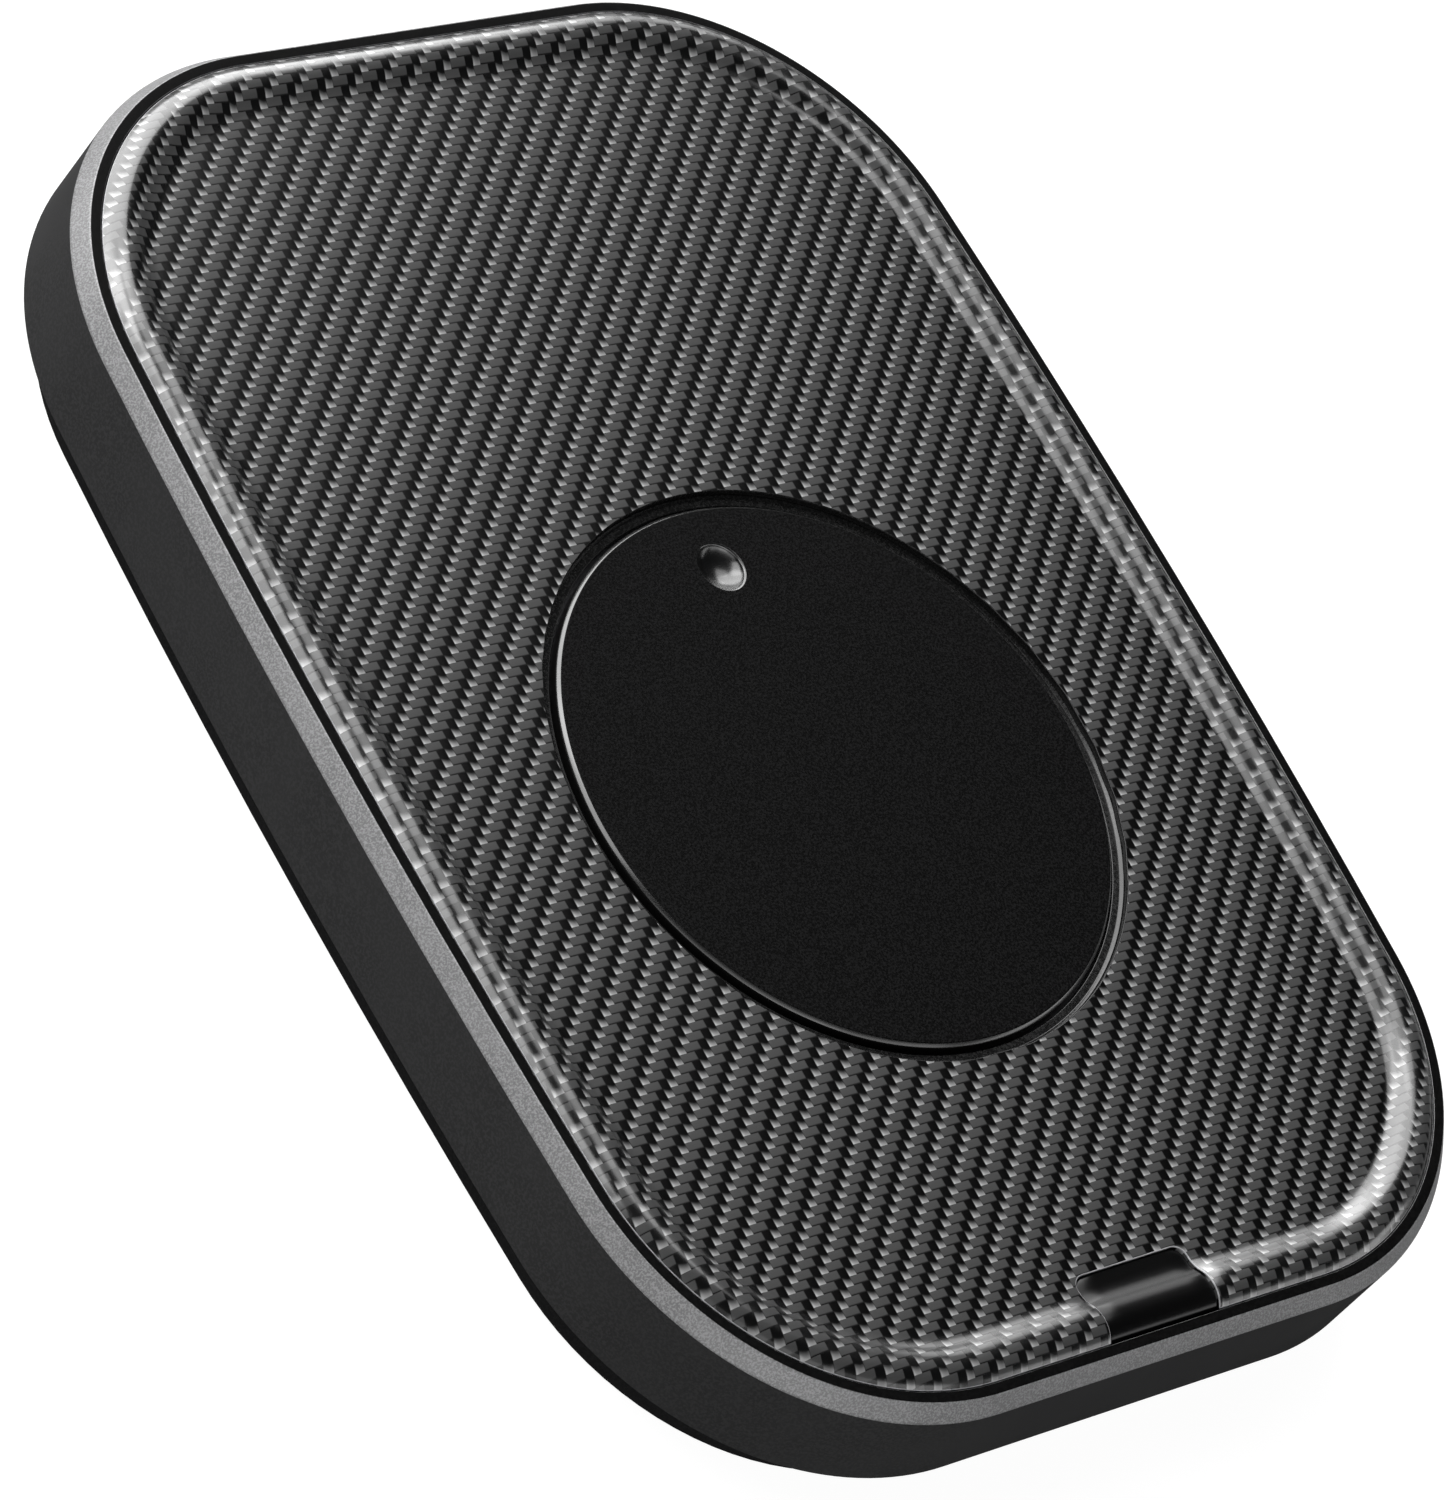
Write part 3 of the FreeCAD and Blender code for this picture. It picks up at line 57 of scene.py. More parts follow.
# Edges of a CAD node's copy that turn by more than this many degrees are rounded.
ROUNDED_ANGLE = 40.0
# The angle in degrees past which an edge of a softened copy stays sharp.
SOFTENED_SHARP = 35.0

Point2 = tuple[float, float]
Point3 = tuple[float, float, float]
Edged = tuple[float, float, float, float]
Colour = tuple[float, float, float]
Ring = list[bmesh.types.BMVert]


# ---------------------------------------------------------------------------------------------
# Node helpers and shared shader node groups
# ---------------------------------------------------------------------------------------------
class Wire:
    """A value on its way through a node tree. Arithmetic on it adds Math nodes."""

    def __init__(self, sketch: "NodeSketch", socket: bpy.types.NodeSocket) -> None:
        """Hold an output socket of one of the sketch's nodes."""
        self.sketch, self.socket = sketch, socket

    def __add__(self, other: "Wire | float") -> "Wire":
        """Return the sum."""
        return self.sketch.math("ADD", self, other)

    def __sub__(self, other: "Wire | float") -> "Wire":
        """Return the difference."""
        return self.sketch.math("SUBTRACT", self, other)

    def __rsub__(self, other: float) -> "Wire":
        """Return a number less this value."""
        return self.sketch.math("SUBTRACT", other, self)

    def __mul__(self, other: "Wire | float") -> "Wire":
        """Return the product."""
        return self.sketch.math("MULTIPLY", self, other)

    def __truediv__(self, other: "Wire | float") -> "Wire":
        """Return the quotient."""
        return self.sketch.math("DIVIDE", self, other)

    def __rtruediv__(self, other: float) -> "Wire":
        """Return a number divided by this value."""
        return self.sketch.math("DIVIDE", other, self)


Signal = Wire | float
Tint = Wire | Colour
Inputs = dict[str | int, object]


class NodeSketch:
    """Adds and joins the nodes of one tree."""

    def __init__(self, tree: bpy.types.NodeTree) -> None:
        """Start with an empty tree; any nodes that it has are removed."""
        self.tree = tree
        self.tree.nodes.clear()

    def node(
        self, kind: str, inputs: Inputs | None = None, **settings: object
    ) -> bpy.types.Node:
        """Add one node.

        Args:
            kind: The node's type name.
            inputs: What its inputs get, by name or number.
            **settings: Properties of the node.

        Returns:
            The new node.
        """
        made = self.tree.nodes.new(kind)
        for name, value in settings.items():
            setattr(made, name, value)
        self.feed(made, inputs or {})
        return made

    def feed(self, node: bpy.types.Node, inputs: Inputs) -> None:
        """Join wires to a node's inputs, and set the others' own values.

        Args:
            node: The node.
            inputs: What its inputs get, by name or number.
        """
        for name, value in inputs.items():
            socket = node.inputs[name]
            if isinstance(value, Wire):
                self.tree.links.new(value.socket, socket)
            else:
                socket.default_value = (*value, 1.0) if socket.type == "RGBA" else value

    def out(self, node: bpy.types.Node, name: str | int = 0) -> Wire:
        """Return one output of a node."""
        return Wire(self, node.outputs[name])

    def math(self, operation: str, *values: Signal) -> Wire:
        """Add a Math node and return its result."""
        inputs = dict(enumerate(values))
        return self.out(self.node("ShaderNodeMath", inputs, operation=operation))

    def step(self, value: Signal, low: float, high: float) -> Wire:
        """Add a smooth step.

        Args:
            value: The value that is looked at.
            low: Where the step is 0.
            high: Where it is 1. It may be less than low, and then the step falls.

        Returns:
            The step, from 0 to 1.
        """
        rises = low < high
        made = self.node("ShaderNodeMapRange", {
            "Value": value, "From Min": min(low, high), "From Max": max(low, high),
            "To Min": 0.0 if rises else 1.0, "To Max": 1.0 if rises else 0.0,
        }, interpolation_type="SMOOTHSTEP", clamp=True)
        return self.out(made, "Result")

    def band(self, value: Signal, ends: tuple[Point2, Point2]) -> Wire:
        """Add a band: the product of a rising and a falling smooth step."""
        rise, fall = ends
        return self.step(value, *rise) * self.step(value, *fall)

    def mix(self, factor: Signal, first: Signal, second: Signal) -> Wire:
        """Blend two numbers: first where factor is 0, second where it is 1."""
        inputs = {"Factor": factor, "A": first, "B": second}
        return self.out(self.node("ShaderNodeMix", inputs, data_type="FLOAT"), "Result")

    def mix_colour(self, factor: Signal, first: Tint, second: Tint) -> Wire:
        """Blend two colours: first where factor is 0, second where it is 1."""
        inputs = {0: factor, 6: first, 7: second}
        return self.out(self.node("ShaderNodeMix", inputs, data_type="RGBA"), 2)

    def grey(self, value: Signal) -> Wire:
        """Turn a number into a grey colour."""
        return self.out(self.node("ShaderNodeCombineColor", {0: value, 1: value, 2: value}))

    def place(self, stretch: Point3 = (1.0, 1.0, 1.0)) -> Wire:
        """Return the object coordinates, stretched by a factor along each axis."""
        coordinates = self.out(self.node("ShaderNodeTexCoord"), "Object")
        return self.out(
            self.node("ShaderNodeMapping", {"Vector": coordinates, "Scale": stretch})
        )

    def noise(
        self, place: Wire, scale: Signal, detail: float = 2.0, rough: float = 0.5
    ) -> Wire:
        """Add a noise texture.

        Args:
            place: The coordinates.
            scale: How many clouds there are to the metre.
            detail: How many finer layers it has.
            rough: How strong the finer layers are.

        Returns:
            The noise, mostly from 0.3 to 0.7.
        """
        return self.out(self.node("ShaderNodeTexNoise", {
            "Vector": place, "Scale": scale, "Detail": detail, "Roughness": rough,
        }))

    def group(self, tree: bpy.types.NodeTree, inputs: Inputs) -> dict[str, Wire]:
        """Place a shared group.

        Args:
            tree: The group.
            inputs: What its inputs get, by name.

        Returns:
            Its outputs, by name.
        """
        made = self.node("ShaderNodeGroup", node_tree=tree)
        self.feed(made, inputs)
        return {socket.name: Wire(self, socket) for socket in made.outputs}

    def bump(self, height: Wire, depth: float) -> Wire:
        """Return a bumped normal, for a height from 0 to 1 and its depth in millimetres."""
        return self.out(self.node("ShaderNodeBump", {
            "Strength": 1.0, "Distance": depth * MM, "Height": height,
        }))


class GroupSketch(NodeSketch):
    """Builds a shared shader node group with named inputs and outputs, all plain numbers."""

    def __init__(self, name: str, inputs: dict[str, float], outputs: Sequence[str]) -> None:
        """Make the group and its sockets.

        Args:
            name: The group's name.
            inputs: Name and first value of each input.
            outputs: Name of each output.
        """
        super().__init__(bpy.data.node_groups.new(name, "ShaderNodeTree"))
        face = self.tree.interface
        for label, value in inputs.items():
            face.new_socket(
                label, in_out="INPUT", socket_type="NodeSocketFloat"
            ).default_value = value
        for label in outputs:
            face.new_socket(label, in_out="OUTPUT", socket_type="NodeSocketFloat")
        start = self.node("NodeGroupInput")
        self.given = {label: self.out(start, label) for label in inputs}
        self.result = self.node("NodeGroupOutput")

    def done(self, **results: Wire) -> bpy.types.NodeTree:
        """Join each result to the output of its name, and return the group."""
        self.feed(self.result, results)
        return self.tree


@dataclass(frozen=True)
class MouldedGrain:
    """The fine spark-eroded texture of moulded plastic, with soft clouding."""

    cell_share: float = 0.45
    cell_softness: float = 0.6
    fine_roughness: float = 0.6
    hollow: float = 0.42
    peak: float = 0.62

    def group(self) -> bpy.types.NodeTree:
        """Build the group: a height, a mask of its peaks, and the clouding."""
        sketch = GroupSketch(
            "moulded_grain", {"Size": 0.25, "Cloud": 6.0}, ("Height", "Mask", "Cloud")
        )
        place = sketch.place()
        scale = PER_MM / sketch.given["Size"]
        fine = sketch.noise(place, scale, rough=self.fine_roughness)
        cells = sketch.out(sketch.node("ShaderNodeTexVoronoi", {
            "Vector": place, "Scale": scale, "Smoothness": self.cell_softness,
        }, feature="SMOOTH_F1"), "Distance")
        return sketch.done(
            Height=fine + cells * self.cell_share,
            Mask=sketch.step(fine, self.hollow, self.peak),
            Cloud=sketch.noise(place, PER_MM / sketch.given["Cloud"], detail=3.0),
        )


@dataclass(frozen=True)
class RolledLines:
    """The fine lines and soft clouds of drawn or rolled metal."""

    line_stretch: float = 0.04
    line_roughness: float = 0.6
    clouds_per_mm: float = 0.4

    def group(self) -> bpy.types.NodeTree:
        """Build the group: a height, and a mask of where the lines catch the light."""
        sketch = GroupSketch("rolled_metal", {"Line": 0.12}, ("Height", "Mask"))
        lines = sketch.noise(
            sketch.place((self.line_stretch, 1.0, 1.0)), PER_MM / sketch.given["Line"],
            rough=self.line_roughness,
        )
        cloud = sketch.noise(sketch.place(), self.clouds_per_mm / MM, detail=3.0)
        return sketch.done(Height=lines, Mask=lines * cloud)


@dataclass(frozen=True)
class TwillWeave:
    """The two-by-two twill of flat yarns, seen from above.

    The yarns that run across show as even grey bars two columns long. Those that run along
    the pad show over two rows, with painted light where they come up and painted shade where
    they go down. The edges of every yarn are darkened: the gaps between yarns, with painted
    shade in them. Places on a yarn go from 0 to 1, across its width or over the two columns or
    rows that it shows.
    """

    # Where the painted light ends and the painted shade begins on the yarns that run along.
    painted_shade_from: float = 0.58
    painted_light_from: float = -0.05
    slant: float = 0.2
    slant_end: float = 0.65
    # The painted light dims towards one side of each yarn that runs along.
    shoulder_end: float = 0.38
    painted_shoulder_dim: float = 0.3
    # Painted shade at the edges of every yarn, in the gaps between yarns: the edge's share of the
    # tone.
    painted_groove_shade: float = 0.15
    strands_per_mm: float = 11.0
    strand_stretch: float = 0.12
    width_crown: float = 0.4
    # Where each yarn's painted edge shade starts and ends; the bars' is wider on one side.
    bar_sides: tuple[Point2, Point2] = ((0.05, 0.22), (1.04, 0.95))
    bar_ends: tuple[Point2, Point2] = ((-0.02, 0.03), (1.0, 0.93))
    along_sides: tuple[Point2, Point2] = ((0.0, 0.1), (1.0, 0.93))
    foot_of_rim: Point2 = (0.01, 0.05)

    def group(self) -> bpy.types.NodeTree:
        """Build the group.

        Returns:
            The group, with the yarns' tone, which holds their painted light and shade, and their
            height, a mask of the yarns that run along, and a mask of where the film rises above
            its flat level.
        """
        sketch = GroupSketch("twill_weave", {
            "Column": 0.8, "Row": 0.8, "Start X": 0.0, "Start Y": 0.0, "Bar": 0.05,
            "Bright": 0.5, "Dark": 0.0, "Strand": 0.1, "Flat Level": 0.0,
        }, ("Tone", "Height", "Along", "Raised"))
        split = sketch.node("ShaderNodeSeparateXYZ", {0: sketch.place()})
        x, y, z = (sketch.out(split, axis) / MM for axis in range(3))
        column, in_column = self._yarn(sketch, x, "Start X", "Column")
        row, in_row = self._yarn(sketch, y, "Start Y", "Row")
        state = sketch.math("FLOORED_MODULO", row - column + 1.0, 4.0)
        along_shows = sketch.math("LESS_THAN", state, 1.5)
        rise = (state + in_row) / 2.0
        run = (3.0 - state + in_column) / 2.0

        # Masks that are 0 where painted shade darkens the yarns' edges and 1 inside them.
        bar_edges = sketch.band(in_row, self.bar_sides) * sketch.band(run, self.bar_ends)
        along_edges = sketch.band(in_column, self.along_sides)
        bar = self._stranded(
            sketch, sketch.given["Bar"], (self.strand_stretch, 1.0, 1.0), bar_edges
        )
        along = self._stranded(
            sketch, self._along_painted_shading(sketch, in_column, rise),
            (1.0, self.strand_stretch, 1.0), along_edges,
        )
        # The tone holds the painted light and painted shade of the yarns that run along.
        return sketch.done(
            Tone=sketch.mix(along_shows, bar, along),
            Height=sketch.mix(
                along_shows, self._crowned(in_row, run), self._crowned(in_column, rise)
            ),
            Along=along_shows,
            Raised=sketch.step(z - sketch.given["Flat Level"], *self.foot_of_rim),
        )

    @staticmethod
    def _yarn(sketch: GroupSketch, place: Wire, start: str, pitch: str) -> tuple[Wire, Wire]:
        """Return the number of the yarn at a place, and the place across that yarn."""
        count = (place - sketch.given[start]) / sketch.given[pitch]
        return sketch.math("FLOOR", count), sketch.math("FRACT", count)

    def _along_painted_shading(self, sketch: GroupSketch, in_column: Wire, rise: Wire) -> Wire:
        """Return the tone of the yarns that run along: their painted light and painted shade.

        Args:
            sketch: The group's sketch.
            in_column: The place across the yarn.
            rise: The place along the stretch that shows.

        Returns:
            The tone: painted light from the stretch's start, along a slant, and painted shade at
                its end.
        """
        slant = sketch.math("MINIMUM", in_column, self.slant_end) * self.slant
        lit = sketch.step(slant + rise, self.painted_shade_from, self.painted_light_from)
        # Painted light, dimmed towards one side of the yarn.
        shoulder = sketch.step(in_column, 0.0, self.shoulder_end)
        crest = sketch.given["Bright"] * (1.0 - shoulder * self.painted_shoulder_dim)
        return sketch.mix(lit, sketch.given["Dark"], crest)

    def _stranded(
        self, sketch: GroupSketch, tone: Wire, stretch: Point3, edges: Wire
    ) -> Wire:
        """Give a yarn its fine strands and the painted shade at its edges.

        Args:
            sketch: The group's sketch.
            tone: The yarn's tone.
            stretch: How the strands are drawn out, along each axis.
            edges: A mask that is 0 at the yarn's edges and 1 inside them.

        Returns:
            The yarn's tone with strands and with painted shade at its edges.
        """
        strands = sketch.noise(sketch.place(stretch), self.strands_per_mm / MM, detail=1.0)
        shaded = tone * ((strands - 0.5) * sketch.given["Strand"] + 1.0)
        return sketch.mix(edges, shaded * self.painted_groove_shade, shaded)

    def _crowned(self, across: Wire, along: Wire) -> Wire:
        """Return a yarn's height: an arch across it and one along it, from 0 to 1."""
        width = self.width_crown
        return self._arch(across) * width + self._arch(along) * (1.0 - width)

    @staticmethod
    def _arch(place: Wire) -> Wire:
        """Return a height that is 0 at both ends of a place and 1 in its middle."""
        return place * (1.0 - place) * 4.0


class Effects:
    """The effects that the finishes share, each built once."""

    def __init__(self) -> None:
        """Build every group."""
        self.grain = MouldedGrain().group()
        self.rolled = RolledLines().group()
        self.twill = TwillWeave().group()


# ---------------------------------------------------------------------------------------------
# Finishes
# ---------------------------------------------------------------------------------------------
@dataclass(frozen=True)
class Finish:
    """A surface finish: it makes its material once and gives it to any piece."""

    effects: Effects
    name: str

    def material(self) -> bpy.types.Material:
        """Return the finish's material, made on first use."""
        found = bpy.data.materials.get(self.name)
        if found is None:
            found = bpy.data.materials.new(self.name)
            found.use_nodes = True
            sketch = NodeSketch(found.node_tree)
            shader = sketch.node("ShaderNodeBsdfPrincipled")
            sketch.feed(shader, self.surface(sketch))
            sketch.node("ShaderNodeOutputMaterial", {"Surface": sketch.out(shader)})
        return found

    def surface(self, sketch: NodeSketch) -> Inputs:
        """Return what the shader's inputs get."""
        raise NotImplementedError


@dataclass(frozen=True)
class MouldedPlastic(Finish):
    """Moulded plastic with a fine grain and soft clouding; lengths in millimetres."""

    colour: Colour
    roughness: float = 0.4
    grain_size: float = 0.25
    grain_depth: float = 0.006
    mottle: float = 0.1
    cloud_edge: Point2 = (0.35, 0.65)
    cloud_tone: float = 0.9
    coat: float = 0.0
    coat_roughness: float = 0.1
    specular: float = 0.5
    metallic: float = 0.0
    uneven: float = 0.1

    def surface(self, sketch: NodeSketch) -> Inputs:
        """Join the grain to the colour, the roughness and the normal.

        Args:
            sketch: The material's sketch.

        Returns:
            What the shader's inputs get.
        """
        grain = sketch.group(self.effects.grain, {"Size": self.grain_size})
        darker = tuple(value * (1 - self.mottle) for value in self.colour)
        lighter = tuple(min(1.0, value * (1 + self.mottle)) for value in self.colour)
        clouded = tuple(value * self.cloud_tone for value in darker)
        cloud = sketch.step(grain["Cloud"], *self.cloud_edge)
        low = sketch.mix_colour(cloud, clouded, darker)
        return {
            "Base Color": sketch.mix_colour(grain["Mask"], low, lighter),
            "Roughness": grain["Mask"] * self.uneven + (self.roughness - self.uneven / 2),
            "Metallic": self.metallic,
            "Specular IOR Level": self.specular,
            "Coat Weight": self.coat,
            "Coat Roughness": self.coat_roughness,
            "Normal": sketch.bump(grain["Height"], self.grain_depth),
        }


@dataclass(frozen=True)
class RolledMetal(Finish):
    """Drawn, rolled or turned metal with fine lines; lengths in millimetres."""

    colour: Colour
    roughness: float = 0.3
    line: float = 0.12
    line_depth: float = 0.003
    line_edge: Point2 = (0.12, 0.4)
    line_tone: float = 0.72
    roughness_shift: float = -0.12
    uneven: float = 0.25

    def surface(self, sketch: NodeSketch) -> Inputs:
        """Join the lines to the colour, the roughness and the normal.

        Args:
            sketch: The material's sketch.

        Returns:
            What the shader's inputs get.
        """
        rolled = sketch.group(self.effects.rolled, {"Line": self.line})
        darker = tuple(value * self.line_tone for value in self.colour)
        caught = sketch.step(rolled["Mask"], *self.line_edge)
        return {
            "Base Color": sketch.mix_colour(caught, darker, self.colour),
            "Metallic": 1.0,
            "Roughness": rolled["Height"] * self.uneven + (self.roughness + self.roughness_shift),
            "Normal": sketch.bump(rolled["Height"], self.line_depth),
        }


@dataclass(frozen=True)
class WovenFilm(Finish):
    """The tray's woven-look film, in millimetres, with a clear gloss that is full on the rim."""

    column: float = 0.8
    row: float = 0.7805
    start_x: float = 0.0
    start_y: float = 0.12
    bar: float = 0.052
    # The painted light and painted shade of the yarns that run along; bar is the across yarns'
    # own tone.
    painted_light_tone: float = 0.48
    painted_shade_tone: float = 0.001
    strand: float = 0.1
    weave_depth: float = 0.03
    metallic: float = 0.15
    specular: float = 0.1
    bar_roughness: float = 0.34
    along_roughness: float = 0.3
    flat_level: float = 15.2
    flat_gloss: float = 0.1
    gloss_roughness: float = 0.18
    gloss_ior: float = 1.75

    def surface(self, sketch: NodeSketch) -> Inputs:
        """Join the weave to the colour, the roughness, the gloss and the normal.

        Args:
            sketch: The material's sketch.

        Returns:
            What the shader's inputs get.
        """
        weave = sketch.group(self.effects.twill, {
            "Column": self.column, "Row": self.row, "Start X": self.start_x,
            "Start Y": self.start_y, "Bar": self.bar, "Bright": self.painted_light_tone,
            "Dark": self.painted_shade_tone, "Strand": self.strand, "Flat Level": self.flat_level,
        })
        smoother = self.along_roughness - self.bar_roughness
        return {
            "Base Color": sketch.grey(weave["Tone"]),
            "Metallic": self.metallic,
            "Roughness": weave["Along"] * smoother + self.bar_roughness,
            "Specular IOR Level": self.specular,
            "Coat Weight": weave["Raised"] * (1.0 - self.flat_gloss) + self.flat_gloss,
            "Coat Roughness": self.gloss_roughness,
            "Coat IOR": self.gloss_ior,
            "Normal": sketch.bump(weave["Height"], self.weave_depth),
        }


@dataclass(frozen=True)
class CircuitBoard(Finish):
    """A green board: solder mask over raised copper tracks; lengths in millimetres."""

    mask: Colour = (0.006, 0.07, 0.03)
    track: Colour = (0.015, 0.15, 0.055)
    cells_per_mm: float = 0.4
    cell_scatter: float = 0.55
    tracks_per_cell: float = 4.0
    track_sides: tuple[Point2, Point2] = ((0.3, 0.36), (0.72, 0.66))
    track_depth: float = 0.02
    grain_size: float = 0.15
    roughness: float = 0.3
    uneven: float = 0.08
    gloss: float = 0.5

    def surface(self, sketch: NodeSketch) -> Inputs:
        """Join square rings of track to the colour and the normal.

        Args:
            sketch: The material's sketch.

        Returns:
            What the shader's inputs get.
        """
        cells = sketch.out(sketch.node("ShaderNodeTexVoronoi", {
            "Vector": sketch.place(), "Scale": self.cells_per_mm / MM,
            "Randomness": self.cell_scatter,
        }, feature="F1", distance="CHEBYCHEV"), "Distance")
        ring = sketch.math("FRACT", cells * self.tracks_per_cell)
        tracks = sketch.band(ring, self.track_sides)
        grain = sketch.group(self.effects.grain, {"Size": self.grain_size})
        return {
            "Base Color": sketch.mix_colour(tracks, self.mask, self.track),
            "Roughness": grain["Mask"] * self.uneven + self.roughness,
            "Coat Weight": self.gloss,
            "Normal": sketch.bump(tracks, self.track_depth),
        }


# ---------------------------------------------------------------------------------------------
# Mesh building, in millimetres
# ---------------------------------------------------------------------------------------------
@dataclass(frozen=True)
class Station:
    """A place on the pad's outline, and the way out of the pad there."""

    x: float
    y: float
    out_x: float
    out_y: float

    def at(self, inset: float, height: float) -> Point3:
        """Return the point that lies inset inside the outline, at a height."""
        return (self.x - inset * self.out_x, self.y - inset * self.out_y, height)


@dataclass(frozen=True)
class PadOutline:
    """The pad's plan: round corners, bowed long sides and straight ends."""

    length: float = 130.0
    width: float = 93.8
    corner: float = 27.5
    bow: float = 770.0
    corner_steps: int = 40
    side_steps: int = 10
    end_steps: int = 6

    def stations(self, gap_half_width: float = 0.0) -> list[Station]:
        """Walk round the outline, from the right of the front's middle and back to its left.

        Args:
            gap_half_width: Half the width of the stretch that is left out at the front.

        Returns:
            The stations, anticlockwise seen from above.
        """
        end = self.length / 2
        corner_y = end - self.corner
        bow_x = self.width / 2 - self.bow
        corner_x = bow_x + math.sqrt((self.bow - self.corner) ** 2 - corner_y**2)
        tilt = math.atan2(corner_y, corner_x - bow_x)
        quarter = math.pi / 2
        shares = [step / self.end_steps for step in range(self.end_steps + 1)]
        right = [
            Station(gap_half_width + (corner_x - gap_half_width) * share, -end, 0.0, -1.0)
            for share in shares[:-1]
        ]
        right += self._arc(
            (corner_x, -corner_y), self.corner, (-quarter, -tilt), self.corner_steps
        )
        right += self._arc((bow_x, 0.0), self.bow, (-tilt, tilt), self.side_steps)
        right += self._arc(
            (corner_x, corner_y), self.corner, (tilt, quarter), self.corner_steps
        )
        right += [Station(corner_x * (1 - share), end, 0.0, 1.0) for share in shares]
        left = [Station(-s.x, s.y, -s.out_x, s.out_y) for s in reversed(right)]
        return right + left[1:] if gap_half_width else right + left[1:-1]

    @staticmethod
    def _arc(centre: Point2, radius: float, span: Point2, steps: int) -> list[Station]:
        """Walk along an arc.

        Args:
            centre: The arc's centre.
            radius: Its radius.
            span: Its first and last angle.
            steps: How many steps it has.

        Returns:
            The arc's stations, without its last point.
        """
        angles = [span[0] + (span[1] - span[0]) * step / steps for step in range(steps)]
        rays = [(math.cos(angle), math.sin(angle)) for angle in angles]
        return [Station(centre[0] + radius * x, centre[1] + radius * y, x, y) for x, y in rays]


def rounded_corners(
    corners: Sequence[Point3], steps: int = 3, closed: bool = True
) -> list[Point2]:
    """Round the corners of a section.

    Args:
        corners: Each corner's two places and the length that its round takes off each side.
        steps: How many faces a round has.
        closed: Whether the last corner runs back to the first.

    Returns:
        The section's points.
    """
    points: list[Point2] = []
    last = len(corners) - 1
    for index, (u, v, cut) in enumerate(corners):
        if cut == 0 or not closed and index in (0, last):
            points.append((u, v))
            continue
        here = Vector((u, v))
        before = Vector(corners[index - 1][:2]) - here
        after = Vector(corners[(index + 1) % len(corners)][:2]) - here
        start = here + before.normalized() * cut
        end = here + after.normalized() * cut
        for step in range(steps + 1):
            t = step / steps
            points.append(tuple(start * (1 - t) ** 2 + here * 2 * t * (1 - t) + end * t**2))
    return points


def add_object(name: str, data: bpy.types.ID) -> bpy.types.Object:
    """Put an object into the scene, at the origin.

    Args:
        name: The object's name.
        data: Its mesh, lamp or camera data.

    Returns:
        The object.
    """
    made = bpy.data.objects.new(name, data)
    bpy.context.scene.collection.objects.link(made)
    return made


class MeshSketch:
    """Builds one mesh from rings of points."""

    def __init__(self) -> None:
        """Start an empty mesh."""
        self.mesh = bmesh.new()

    def ring(self, points: Sequence[Point3]) -> Ring:
        """Add points and return their vertices."""
        return [self.mesh.verts.new(Vector(point) * MM) for point in points]

    def skin(
        self, rings: Sequence[Ring], closed: bool = True, slot: int = 0, capped: bool = False
    ) -> None:
        """Fill the bands from each ring to the next.

        Args:
            rings: Rings of as many points each.
            closed: Whether the bands run right round.
            slot: The finish that the bands have, counted from 0.
            capped: Whether the first and the last ring get a face each.
        """
        for first, second in pairwise(rings):
            count = len(first)
            for index in range(count if closed else count - 1):
                after = (index + 1) % count
                corners = (first[index], first[after], second[after], second[index])
                distinct = list(dict.fromkeys(corners))
                if len(distinct) > 2:
                    self.mesh.faces.new(distinct).material_index = slot
        if capped:
            self.mesh.faces.new(rings[0])
            self.mesh.faces.new(rings[-1])

    def fill(self, *rings: Ring) -> None:
        """Fill the flat area inside the first ring and outside the others."""
        edges = [
            self.mesh.edges.get((vertex, ring[index - 1]))
            for ring in rings for index, vertex in enumerate(ring)
        ]
        bmesh.ops.triangle_fill(self.mesh, use_beauty=True, edges=edges)

    def sweep(self, stations: Sequence[Station], section: Sequence[Point2]) -> None:
        """Sweep a closed section of insets and heights right round the stations."""
        rings = [self.ring([s.at(inset, height) for s in stations]) for inset, height in section]
        self.skin(rings + rings[:1])

    def turn(self, section: Sequence[Point2], centre: Point2, steps: int) -> None:
        """Turn a section about an upright axis.

        Args:
            section: Radii and heights: from pole to pole, or else a closed ring's.
            centre: The axis's place.
            steps: How many steps go round.
        """
        angles = [2 * math.pi * step / steps for step in range(steps)]
        rings = []
        for radius, height in section:
            if radius == 0:
                rings.append(self.ring([(*centre, height)]) * steps)
                continue
            rings.append(self.ring([
                (
                    centre[0] + radius * math.cos(angle), centre[1] + radius * math.sin(angle),
                    height,
                )
                for angle in angles
            ]))
        has_poles = any(radius == 0 for radius, _ in section)
        self.skin(rings if has_poles else rings + rings[:1])

    def finish(self, name: str, sharp: float = 32.0) -> bpy.types.Object:
        """Close the mesh, turn its faces outwards and make its object.

        Args:
            name: The piece's name.
            sharp: The angle in degrees past which an edge stays sharp.

        Returns:
            The piece, at the origin.
        """
        bmesh.ops.remove_doubles(self.mesh, verts=self.mesh.verts, dist=SKETCH_MERGE)
        bmesh.ops.recalc_face_normals(self.mesh, faces=self.mesh.faces)
        data = bpy.data.meshes.new(name)
        self.mesh.to_mesh(data)
        self.mesh.free()
        piece = add_object(name, data)
        smooth(piece, sharp)
        return piece


